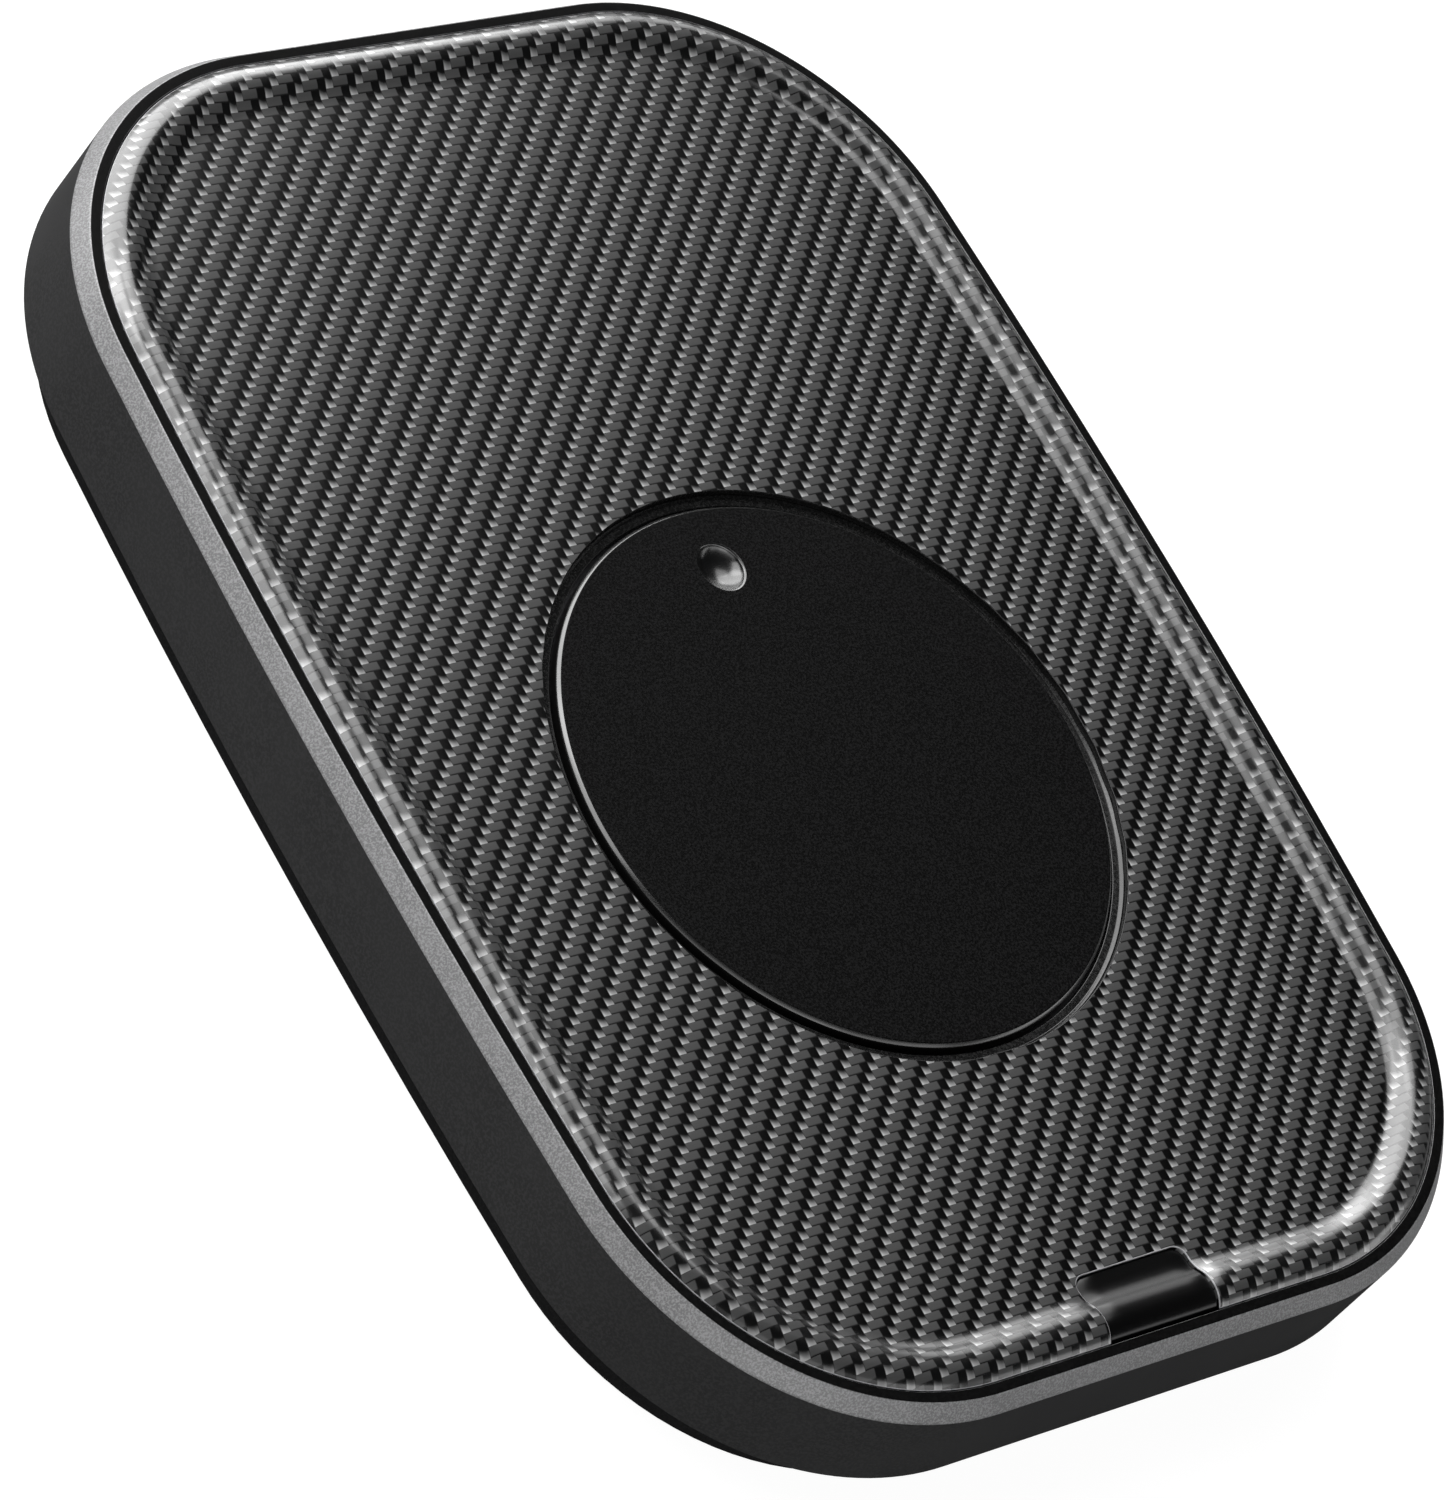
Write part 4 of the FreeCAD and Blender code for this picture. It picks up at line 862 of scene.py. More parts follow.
def smooth(piece: bpy.types.Object, sharp: float) -> None:
    """Shade a piece smooth, with flat faces kept even and sharp edges kept sharp.

    Args:
        piece: The piece.
        sharp: The angle in degrees past which an edge stays sharp.
    """
    data = piece.data
    data.polygons.foreach_set("use_smooth", [True] * len(data.polygons))
    data.set_sharp_from_angle(angle=math.radians(sharp))
    weighted = piece.modifiers.new("even_faces", "WEIGHTED_NORMAL")
    weighted.mode = "FACE_AREA"
    weighted.weight = 50
    weighted.keep_sharp = True
    apply_modifiers(piece)


def apply_modifiers(piece: bpy.types.Object) -> None:
    """Apply a piece's modifiers to its mesh and remove them.

    Args:
        piece: The piece.
    """
    bpy.context.view_layer.update()
    graph = bpy.context.evaluated_depsgraph_get()
    data = bpy.data.meshes.new_from_object(piece.evaluated_get(graph), depsgraph=graph)
    piece.modifiers.clear()
    piece.data = data


def carve(piece: bpy.types.Object, tool: bpy.types.Object, sharp: float = 32.0) -> None:
    """Cut a tool out of a piece and remove the tool.

    Args:
        piece: The piece that is cut.
        tool: A closed mesh.
        sharp: The angle in degrees past which an edge stays sharp.
    """
    cut = piece.modifiers.new("cut", "BOOLEAN")
    cut.operation = "DIFFERENCE"
    cut.solver = "EXACT"
    cut.object = tool
    apply_modifiers(piece)
    bpy.data.objects.remove(tool)
    smooth(piece, sharp)


def softened(node: str, width: float) -> bpy.types.Object:
    """Copy a CAD node, merge its loose triangles and round its edges a little.

    Args:
        node: The CAD node's name.
        width: The round's width.

    Returns:
        The copy, named for the node.
    """
    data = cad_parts[node].data.copy()
    mesh = bmesh.new()
    mesh.from_mesh(data)
    bmesh.ops.remove_doubles(mesh, verts=mesh.verts, dist=COPY_MERGE)
    bmesh.ops.dissolve_limit(
        mesh, angle_limit=math.radians(FLAT_ANGLE), verts=mesh.verts, edges=mesh.edges
    )
    mesh.to_mesh(data)
    mesh.free()
    piece = add_object(f"{node}_soft", data)
    bevel = piece.modifiers.new("round", "BEVEL")
    bevel.width = width * MM
    bevel.segments = 2
    bevel.limit_method = "ANGLE"
    bevel.angle_limit = math.radians(ROUNDED_ANGLE)
    apply_modifiers(piece)
    smooth(piece, SOFTENED_SHARP)
    return piece


def dress(piece: bpy.types.Object, *finishes: Finish) -> None:
    """Give a piece its finishes.

    Args:
        piece: The piece.
        *finishes: The finishes, in the order of its faces' slots.
    """
    chosen = [face.material_index for face in piece.data.polygons]
    piece.data.materials.clear()
    for finish in finishes:
        piece.data.materials.append(finish.material())
    for face, slot in zip(piece.data.polygons, chosen):
        face.material_index = slot


def report(*pieces: bpy.types.Object) -> None:
    """Log each piece's name and size."""
    for piece in pieces:
        sides = [[corner[axis] for corner in piece.bound_box] for axis in range(3)]
        size = " x ".join(f"{(max(side) - min(side)) / MM:.1f}" for side in sides)
        LOG.info("%s: %s mm, %d faces", piece.name, size, len(piece.data.polygons))


# ---------------------------------------------------------------------------------------------
# The pad's sub-assemblies, in millimetres
# ---------------------------------------------------------------------------------------------
@dataclass(frozen=True)
class BeadForm:
    """The tray's raised rim: an outer arc up to the crest, and two arcs down to the floor."""

    floor: float = 15.2
    start: float = 2.05
    outer_run: float = 1.8
    inner_run: float = 3.1
    height: float = 1.0
    foot: float = 0.12

    @property
    def crest(self) -> float:
        """The inset of the rim's highest point."""
        return self.start + self.outer_run

    @property
    def end(self) -> float:
        """The inset at which the rim has run out on the floor."""
        return self.crest + self.inner_run

    def level(self, inset: float) -> float:
        """Return the height of the rim's top.

        Args:
            inset: How far inside the pad's outline.

        Returns:
            The height there.
        """
        rise = self.height - self.foot
        outer = (self.outer_run**2 + rise**2) / (2 * rise)
        inner = (self.inner_run**2 + self.height**2) / (4 * self.height)
        top = self.floor + self.height
        if inset <= self.crest:
            return top - outer + math.sqrt(outer**2 - (self.crest - inset) ** 2)
        if inset <= self.crest + self.inner_run / 2:
            return top - inner + math.sqrt(inner**2 - (inset - self.crest) ** 2)
        if inset < self.end:
            return self.floor + inner - math.sqrt(inner**2 - (self.end - inset) ** 2)
        return self.floor

    def insets(self, outer_steps: int = 12, inner_steps: int = 16) -> list[float]:
        """Choose insets from the rim's foot to where it runs out, closer at its crest.

        Args:
            outer_steps: How many lie between the foot and the crest.
            inner_steps: How many steps go down from the crest.

        Returns:
            The insets.
        """
        outer = [math.sin(math.pi / 2 * k / outer_steps) for k in range(outer_steps)]
        inner = [k / inner_steps for k in range(inner_steps + 1)]
        return [self.start + self.outer_run * share for share in outer] + [
            self.crest + self.inner_run * share for share in inner
        ]


@dataclass(frozen=True)
class Notch:
    """The gap in the tray's front rim that the power button fills."""

    half_width: float = 6.1
    depth: float = 6.05
    corner: float = 1.1
    corner_steps: int = 6


class TraySlot(IntEnum):
    """The tray's finishes, in the order of its slots."""

    FILM = 0
    CUT_EDGE = 1
    OPENING = 2


@dataclass
class TrayPanel:
    """The woven-look tray: floor, raised rim, disc opening and the button's notch."""

    film: Finish
    edge_highlight_finish: Finish
    opening_finish: Finish
    outline: PadOutline
    bead: BeadForm
    notch: Notch
    bottom: float = 14.2
    opening_radius: float = 27.0
    edge: float = 0.09

    def build(self) -> bpy.types.Object:
        """Build the tray and return it."""
        sketch = MeshSketch()
        stations = self.outline.stations(self.notch.half_width)
        notch_rim = self._notch_rim()
        tops = self._top(sketch, stations)
        floor_rim = tops[-1] + sketch.ring([
            (x + self.edge * way_x, y + self.edge * way_y, self.bead.floor)
            for x, y, way_x, way_y in notch_rim
        ])
        opening_foot = self._opening(sketch, floor_rim)
        left = [ring[-1] for ring in tops[1:]]
        right = [ring[0] for ring in reversed(tops[1:])]
        border = tops[0] + left + floor_rim[-len(notch_rim):] + right
        foot = self._outer_wall(sketch, border, self._border_plan(stations, notch_rim))
        sketch.fill(foot, opening_foot)
        piece = sketch.finish("tray_panel_woven", 30.0)
        dress(piece, self.film, self.edge_highlight_finish, self.opening_finish)
        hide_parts("tray_panel")
        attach(piece, "housing")
        return piece

    def _top(self, sketch: MeshSketch, stations: Sequence[Station]) -> list[Ring]:
        """Build the rim's top, which ends square at both sides of the notch.

        Args:
            sketch: The tray's sketch.
            stations: The outline without the notch.

        Returns:
            The top's rows, from the rim's foot to the floor.
        """
        half = self.notch.half_width + self.edge
        rows = []
        for inset in [self.bead.start + self.edge / 2] + self.bead.insets()[1:]:
            height = self.bead.level(inset)
            line = [station.at(inset, height) for station in stations]
            line[0] = (half, line[0][1], height)
            line[-1] = (-half, line[-1][1], height)
            rows.append(sketch.ring(line))
        sketch.skin(rows, closed=False)
        return rows

    def _notch_rim(self) -> list[Edged]:
        """Return the notch's rear rim from left to right: points and ways into the panel."""
        corner = self.notch.corner
        rear = -self.outline.length / 2 + self.bead.start + self.notch.depth
        left = []
        for step in range(self.notch.corner_steps + 1):
            angle = math.pi - math.pi / 2 * step / self.notch.corner_steps
            way_x, way_y = math.cos(angle), math.sin(angle)
            x = corner - self.notch.half_width + corner * way_x
            left.append((x, rear - corner + corner * way_y, way_x, way_y))
        return left + [(-x, y, -way_x, way_y) for x, y, way_x, way_y in reversed(left)]

    def _border_plan(
        self, stations: Sequence[Station], notch_rim: Sequence[Edged]
    ) -> list[Edged]:
        """Lay out the tray's border: outline, left notch side, rear, right notch side.

        Args:
            stations: The outline without the notch.
            notch_rim: The notch's rear rim.

        Returns:
            The border's points and ways into the panel.
        """
        half, front = self.notch.half_width, -self.outline.length / 2
        insets = self.bead.insets()[1:]
        outline = [
            (*s.at(self.bead.start, 0)[:2], -s.out_x / 2, -s.out_y / 2) for s in stations
        ]
        left = [(-half, front + inset, -1.0, 0.0) for inset in insets]
        right = [(half, front + inset, 1.0, 0.0) for inset in reversed(insets)]
        return outline + left + list(notch_rim) + right

    def _outer_wall(self, sketch: MeshSketch, border: Ring, plan: Sequence[Edged]) -> Ring:
        """Build the rounded edge below the top's border and the wall down from it.

        Args:
            sketch: The tray's sketch.
            border: The top's border.
            plan: The wall's points and ways into the panel, one for each vertex.

        Returns:
            The wall's foot.
        """
        middle = ROUND_MIDDLE * self.edge
        heights = [vertex.co.z / MM for vertex in border]
        rounds = [border] + [
            sketch.ring([
                (x + out * way_x, y + out * way_y, height - drop)
                for (x, y, way_x, way_y), height in zip(plan, heights)
            ])
            for out, drop in ((middle, middle), (0.0, self.edge))
        ]
        # The rounded cut edge gets a pale finish: a painted highlight.
        sketch.skin(rounds, slot=TraySlot.CUT_EDGE)
        foot = sketch.ring([(x, y, self.bottom) for x, y, _, _ in plan])
        sketch.skin([rounds[-1], foot])
        return foot

    def _opening(self, sketch: MeshSketch, floor_rim: Ring) -> Ring:
        """Build the floor up to the disc's opening, and the opening's wall.

        Args:
            sketch: The tray's sketch.
            floor_rim: The floor's rim, right round.

        Returns:
            The wall's foot.
        """
        x, y = DISC_CENTRE
        angles = [math.atan2(v.co.y / MM - y, v.co.x / MM - x) for v in floor_rim]
        middle = ROUND_MIDDLE * self.edge
        rings = []
        for grow, height in (
            (self.edge, self.bead.floor), (middle, self.bead.floor - middle),
            (0.0, self.bead.floor - self.edge), (0.0, self.bottom),
        ):
            radius = self.opening_radius + grow
            rings.append(sketch.ring([
                (x + radius * math.cos(angle), y + radius * math.sin(angle), height)
                for angle in angles
            ]))
        sketch.skin([floor_rim, rings[0]])
        sketch.skin(rings, slot=TraySlot.OPENING)
        return rings[-1]


class FrameSlot(IntEnum):
    """The side frame's finishes, in the order of its slots."""

    WALL = 0
    BEVEL = 1
    LEDGE = 2


@dataclass
class SideFrame:
    """The frame round the pad: wall, bevel, ledge and inner shelf, with the socket's slot."""

    wall_finish: Finish
    bevel_finish: Finish
    ledge_shade_finish: Finish
    outline: PadOutline
    wall_bottom: float = 5.1
    bevel_start: float = 13.75
    ledge: float = 15.35
    bevel_run: float = 1.0
    ledge_width: float = 0.95
    shelf_top: float = 13.2
    shelf_bottom: float = 12.0
    shelf_reach: float = 5.0
    wall: float = 3.0
    foot_round: float = 0.15
    wall_round: float = 0.16
    bevel_round: float = 0.14
    ledge_round: float = 0.08
    slot_half_width: float = 4.72
    slot_low: float = 6.75
    slot_high: float = 10.51
    slot_flare: float = 0.15
    slot_steps: int = 16

    def build(self) -> bpy.types.Object:
        """Build the frame and return it."""
        sketch = MeshSketch()
        ledge_end = self.bevel_run + self.ledge_width
        sketch.sweep(self.outline.stations(), rounded_corners([
            (0.0, self.wall_bottom, self.foot_round), (0.0, self.bevel_start, self.wall_round),
            (self.bevel_run, self.ledge, self.bevel_round),
            (ledge_end, self.ledge, self.ledge_round), (ledge_end, self.shelf_top, 0.0),
            (self.shelf_reach, self.shelf_top, 0.0),
            (self.shelf_reach, self.shelf_bottom, 0.0), (self.wall, self.shelf_bottom, 0.0),
            (self.wall, self.wall_bottom, self.foot_round),
        ]))
        piece = sketch.finish("side_frame_moulded", 30.0)
        carve(piece, self._slot_tool(), 30.0)
        dress(piece, self.wall_finish, self.bevel_finish, self.ledge_shade_finish)
        for face in piece.data.polygons:
            face.material_index = self._slot_of(face)
        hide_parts("side_frame")
        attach(piece, "housing")
        return piece

    def _slot_of(self, face: bpy.types.MeshPolygon) -> FrameSlot:
        """Sort a face by where it lies and which way it faces.

        Args:
            face: A face of the frame.

        Returns:
            The bevel's slot, the ledge's with the wall inside it, whose near-black finish is
            painted shade for the gap beside the tray, or the outer wall's.
        """
        near = 0.05
        height, way = face.center.z / MM, face.normal
        if self.bevel_start - near < height < self.ledge and 0.1 < way.z < 0.95:
            return FrameSlot.BEVEL
        inward = way.z < 0.1 and way.x * face.center.x + way.y * face.center.y < 0
        on_top = height > self.ledge - near
        # The ledge and the wall inside it get the painted shade of the gap beside the tray.
        if height > self.shelf_top and way.z >= -0.5 and (on_top or inward):
            return FrameSlot.LEDGE
        return FrameSlot.WALL

    def _slot_tool(self) -> bpy.types.Object:
        """Return the slot's cutter, a stadium that flares at the wall's face."""
        sketch = MeshSketch()
        rear, flare = self.outline.length / 2, self.slot_flare
        rings = [
            sketch.ring(self._stadium(grow, y)) for grow, y in (
                (0.0, rear - 2 * self.wall), (0.0, rear - flare),
                (0.3 * flare, rear - 0.3 * flare), (1.3 * flare, rear + 0.3 * flare),
            )
        ]
        sketch.skin(rings, capped=True)
        return sketch.finish("slot_tool")

    def _stadium(self, grow: float, y: float) -> list[Point3]:
        """Draw the slot's outline in an upright plane across the pad.

        Args:
            grow: How far outside the slot it runs.
            y: The plane's place.

        Returns:
            The outline's points.
        """
        radius = (self.slot_high - self.slot_low) / 2 + grow
        straight = self.slot_half_width + grow - radius
        middle = (self.slot_low + self.slot_high) / 2
        points = []
        for side in (1, -1):
            for step in range(self.slot_steps + 1):
                angle = side * math.pi / 2 - math.pi * step / self.slot_steps
                points.append((
                    side * straight + radius * math.cos(angle), y,
                    middle + radius * math.sin(angle),
                ))
        return points


class DiscSlot(IntEnum):
    """The disc's finishes, in the order of its slots."""

    SATIN = 0
    POLISHED = 1


@dataclass
class Turntable:
    """The slowly turning disc with its dimple."""

    satin: Finish
    polished: Finish
    radius: float = 25.65
    top: float = 15.15
    bottom: float = 13.5
    edge: float = 0.3
    edge_round: float = 0.08
    foot_round: float = 0.1
    polished_height: float = 0.3
    hub_radius: float = 4.0
    hub_bottom: float = 12.3
    steps: int = 256
    dimple_y: float = 9.56
    dimple_radius: float = 2.36
    dimple_depth: float = 1.29
    dimple_lip: float = 0.26
    dimple_steps: int = 72
    lip_start: float = math.radians(12.0)
    lip_end: float = math.radians(80.0)
    lip_steps: int = 5
    bowl_steps: int = 14

    def build(self) -> bpy.types.Object:
        """Build the disc and return it."""
        sketch = MeshSketch()
        sketch.turn(rounded_corners([
            (0.0, self.top, 0.0), (self.radius - self.edge, self.top, self.edge_round),
            (self.radius, self.top - self.edge, self.edge_round),
            (self.radius, self.bottom, self.foot_round), (self.hub_radius, self.bottom, 0.0),
            (self.hub_radius, self.hub_bottom, self.foot_round), (0.0, self.hub_bottom, 0.0),
        ], closed=False), DISC_CENTRE, self.steps)
        piece = sketch.finish("turntable_disc_moulded", 28.0)
        carve(piece, self._dimple_tool(), 28.0)
        dress(piece, self.satin, self.polished)
        for face in piece.data.polygons:
            face.material_index = self._slot_of(face)
        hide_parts("turntable_disc")
        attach(piece, "turntable")
        return piece

    def _slot_of(self, face: bpy.types.MeshPolygon) -> DiscSlot:
        """Sort a face by where it lies.

        Args:
            face: A face of the disc.

        Returns:
            The polished slot in the dimple and on the bevelled rim, or the satin one.
        """
        x, y, height = face.center / MM
        in_dimple = math.hypot(x, y - self.dimple_y) < self.dimple_radius + 0.1
        from_axis = math.hypot(x - DISC_CENTRE[0], y - DISC_CENTRE[1])
        polished = in_dimple or from_axis > self.radius - self.edge
        if polished and self.bottom + self.polished_height < height < self.top - 0.001:
            return DiscSlot.POLISHED
        return DiscSlot.SATIN

    def _dimple_tool(self) -> bpy.types.Object:
        """Return the dimple's cutter: a bowl with a rounded lip."""
        above, spare, collar = 1.0, 0.06, 0.02
        section = [
            (0.0, self.top + above), (self.dimple_radius + spare, self.top + above),
            (self.dimple_radius + spare, self.top + collar),
        ]
        for step in range(self.lip_steps + 1):
            angle = self.lip_start + (self.lip_end - self.lip_start) * step / self.lip_steps
            inward = math.sin(angle) - math.sin(self.lip_start)
            down = math.cos(self.lip_start) - math.cos(angle)
            section.append((
                self.dimple_radius - self.dimple_lip * inward, self.top - self.dimple_lip * down
            ))
        step_in, step_down = 0.01, 0.03
        bowl, level = section[-1][0] - step_in, section[-1][1] - step_down
        depth = level - (self.top - self.dimple_depth)
        sphere = (bowl**2 + depth**2) / (2 * depth)
        middle = level - depth + sphere
        reach = math.asin(bowl / sphere)
        for step in range(self.bowl_steps + 1):
            angle = reach * (1 - step / self.bowl_steps)
            radius = sphere * math.sin(angle) if step < self.bowl_steps else 0.0
            section.append((radius, middle - sphere * math.cos(angle)))
        sketch = MeshSketch()
        sketch.turn(section, (0.0, self.dimple_y), self.dimple_steps)
        return sketch.finish("dimple_tool")


@dataclass
class DiscLiner:
    """The black liner round the disc: a land, a thin lip and a skirt below."""

    finish: Finish
    bore: float = 26.0
    skirt: float = 26.4
    rim: float = 26.95
    lip_foot: float = 26.7
    foot: float = 13.2
    underside: float = 14.2
    land: float = 14.4
    lip_top: float = 14.62
    lip_round: float = 0.03
    lip_foot_round: float = 0.05
    bore_round: float = 0.1
    steps: int = 256

    def build(self) -> bpy.types.Object:
        """Build the liner and return it."""
        sketch = MeshSketch()
        sketch.turn(rounded_corners([
            (self.bore, self.foot, 0.0), (self.skirt, self.foot, 0.0),
            (self.skirt, self.underside, 0.0), (self.rim, self.underside, 0.0),
            (self.rim, self.lip_top, self.lip_round),
            (self.lip_foot, self.land, self.lip_foot_round),
            (self.bore, self.land, self.bore_round),
        ]), DISC_CENTRE, self.steps)
        piece = sketch.finish("disc_liner_gloss", 35.0)
        dress(piece, self.finish)
        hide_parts("disc_bezel")
        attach(piece, "housing")
        return piece


@dataclass
class PowerButton:
    """The gloss power button, which carries the rim's form on across the notch."""

    finish: Finish
    outline: PadOutline
    bead: BeadForm
    notch: Notch
    gap: float = 0.12
    corner: float = 1.08
    corner_steps: int = 12
    sink: float = 0.18
    bottom: float = 14.0
    edge: float = 0.14
    spans: int = 6
    rim_steps: tuple[int, int] = (10, 14)
    closest_rows: Point2 = (0.05, 0.01)

    def build(self) -> bpy.types.Object:
        """Build the cap, without the stem and hooks below it, and return it."""
        sketch = MeshSketch()
        half = self.notch.half_width - self.gap
        front = self.bead.start + self.gap
        rear = self.bead.start + self.notch.depth - self.gap
        insets = self._insets(front, rear)
        rings = []
        for inset in insets:
            height = self.bead.level(inset) - self.sink
            if inset in (insets[0], insets[-1]):
                height -= self.edge
            into = max(0.0, inset - (rear - self.corner))
            reach = half - self.corner + math.sqrt(max(0.0, self.corner**2 - into**2))
            y = inset - self.outline.length / 2
            rings.append(sketch.ring([(x, y, z) for x, z in self._row(reach, height)]))
        sketch.skin(rings, capped=True)
        piece = sketch.finish("power_button_cap", 40.0)
        dress(piece, self.finish)
        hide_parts("button_cap")
        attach(piece, "power_button")
        return piece

    def _insets(self, front: float, rear: float) -> list[float]:
        """Choose the insets at which the cap has a row of points.

        Args:
            front: The front edge's inset.
            rear: The rear edge's inset.

        Returns:
            The insets, closer where the rim curves and where the rear corners do.
        """
        corner_start = rear - self.corner
        first, last = front + self.closest_rows[0], corner_start - self.closest_rows[1]
        on_rim = [inset for inset in self.bead.insets(*self.rim_steps) if first < inset < last]
        turns = [math.pi / 2 * step / self.corner_steps for step in range(self.corner_steps + 1)]
        return [front] + on_rim + [corner_start + self.corner * math.sin(turn) for turn in turns]

    def _row(self, reach: float, height: float) -> list[Point2]:
        """Draw the cap's upright section across.

        Args:
            reach: How far it reaches to each side.
            height: Its top's height.

        Returns:
            The section's points, from its lower left to its lower right.
        """
        middle = ROUND_MIDDLE * self.edge
        left = [
            (-reach, self.bottom), (-reach, height - self.edge),
            (-reach + middle, height - middle), (-reach + self.edge, height),
        ]
        across = [
            ((self.edge - reach) * (1 - 2 * step / self.spans), height)
            for step in range(1, self.spans)
        ]
        return left + across + [(-x, z) for x, z in reversed(left)]


class Pattern:
    """A Geometry Nodes tree that sets copies of one mesh at the points of a grid."""

    INPUTS = {
        "Copy": "NodeSocketObject", "Finish": "NodeSocketMaterial",
        "Columns": "NodeSocketInt", "Rows": "NodeSocketInt",
        "Width": "NodeSocketFloat", "Depth": "NodeSocketFloat", "Middle": "NodeSocketVector",
    }

    def __init__(self, name: str) -> None:
        """Build the tree with its named inputs.

        Args:
            name: The tree's name.
        """
        self.tree = bpy.data.node_groups.new(name, "GeometryNodeTree")
        face = self.tree.interface
        face.new_socket("Geometry", in_out="INPUT", socket_type="NodeSocketGeometry")
        self.sockets = {
            label: face.new_socket(label, in_out="INPUT", socket_type=kind).identifier
            for label, kind in self.INPUTS.items()
        }
        face.new_socket("Geometry", in_out="OUTPUT", socket_type="NodeSocketGeometry")
        sketch = NodeSketch(self.tree)
        start = sketch.node("NodeGroupInput")
        given = {label: sketch.out(start, label) for label in self.INPUTS}
        grid = sketch.node("GeometryNodeMeshGrid", {
            "Size X": given["Width"], "Size Y": given["Depth"],
            "Vertices X": given["Columns"], "Vertices Y": given["Rows"],
        })
        moved = sketch.node("GeometryNodeTransform", {
            "Geometry": sketch.out(grid, "Mesh"), "Translation": given["Middle"],
        })
        copied = sketch.node("GeometryNodeObjectInfo", {"Object": given["Copy"]})
        spread = sketch.node("GeometryNodeInstanceOnPoints", {
            "Points": sketch.out(moved), "Instance": sketch.out(copied, "Geometry"),
        })
        real = sketch.node("GeometryNodeRealizeInstances", {"Geometry": sketch.out(spread)})
        painted = sketch.node("GeometryNodeSetMaterial", {
            "Geometry": sketch.out(real), "Material": given["Finish"],
        })
        sketch.node("NodeGroupOutput", {0: sketch.out(painted)})

    def spread(
        self, name: str, copy: bpy.types.Object, finish: Finish, counts: tuple[int, int],
        size: Point2, middle: Point3 = (0.0, 0.0, 0.0),
    ) -> bpy.types.Object:
        """Set copies of a mesh on a grid and return them as one plain mesh.

        Args:
            name: The piece's name.
            copy: The mesh that is copied; it is removed.
            finish: The copies' finish.
            counts: How many columns and rows there are.
            size: How far apart the outer columns and the outer rows are.
            middle: The middle of the grid.

        Returns:
            The piece, with no modifier left on it.
        """
        piece = add_object(name, bpy.data.meshes.new(name))
        pattern = piece.modifiers.new("pattern", "NODES")
        pattern.node_group = self.tree
        values = {
            "Copy": copy, "Finish": finish.material(), "Columns": counts[0], "Rows": counts[1],
            "Width": size[0] * MM, "Depth": size[1] * MM,
            "Middle": [value * MM for value in middle],
        }
        for label, value in values.items():
            pattern[self.sockets[label]] = value
        apply_modifiers(piece)
        bpy.data.objects.remove(copy)
        return piece


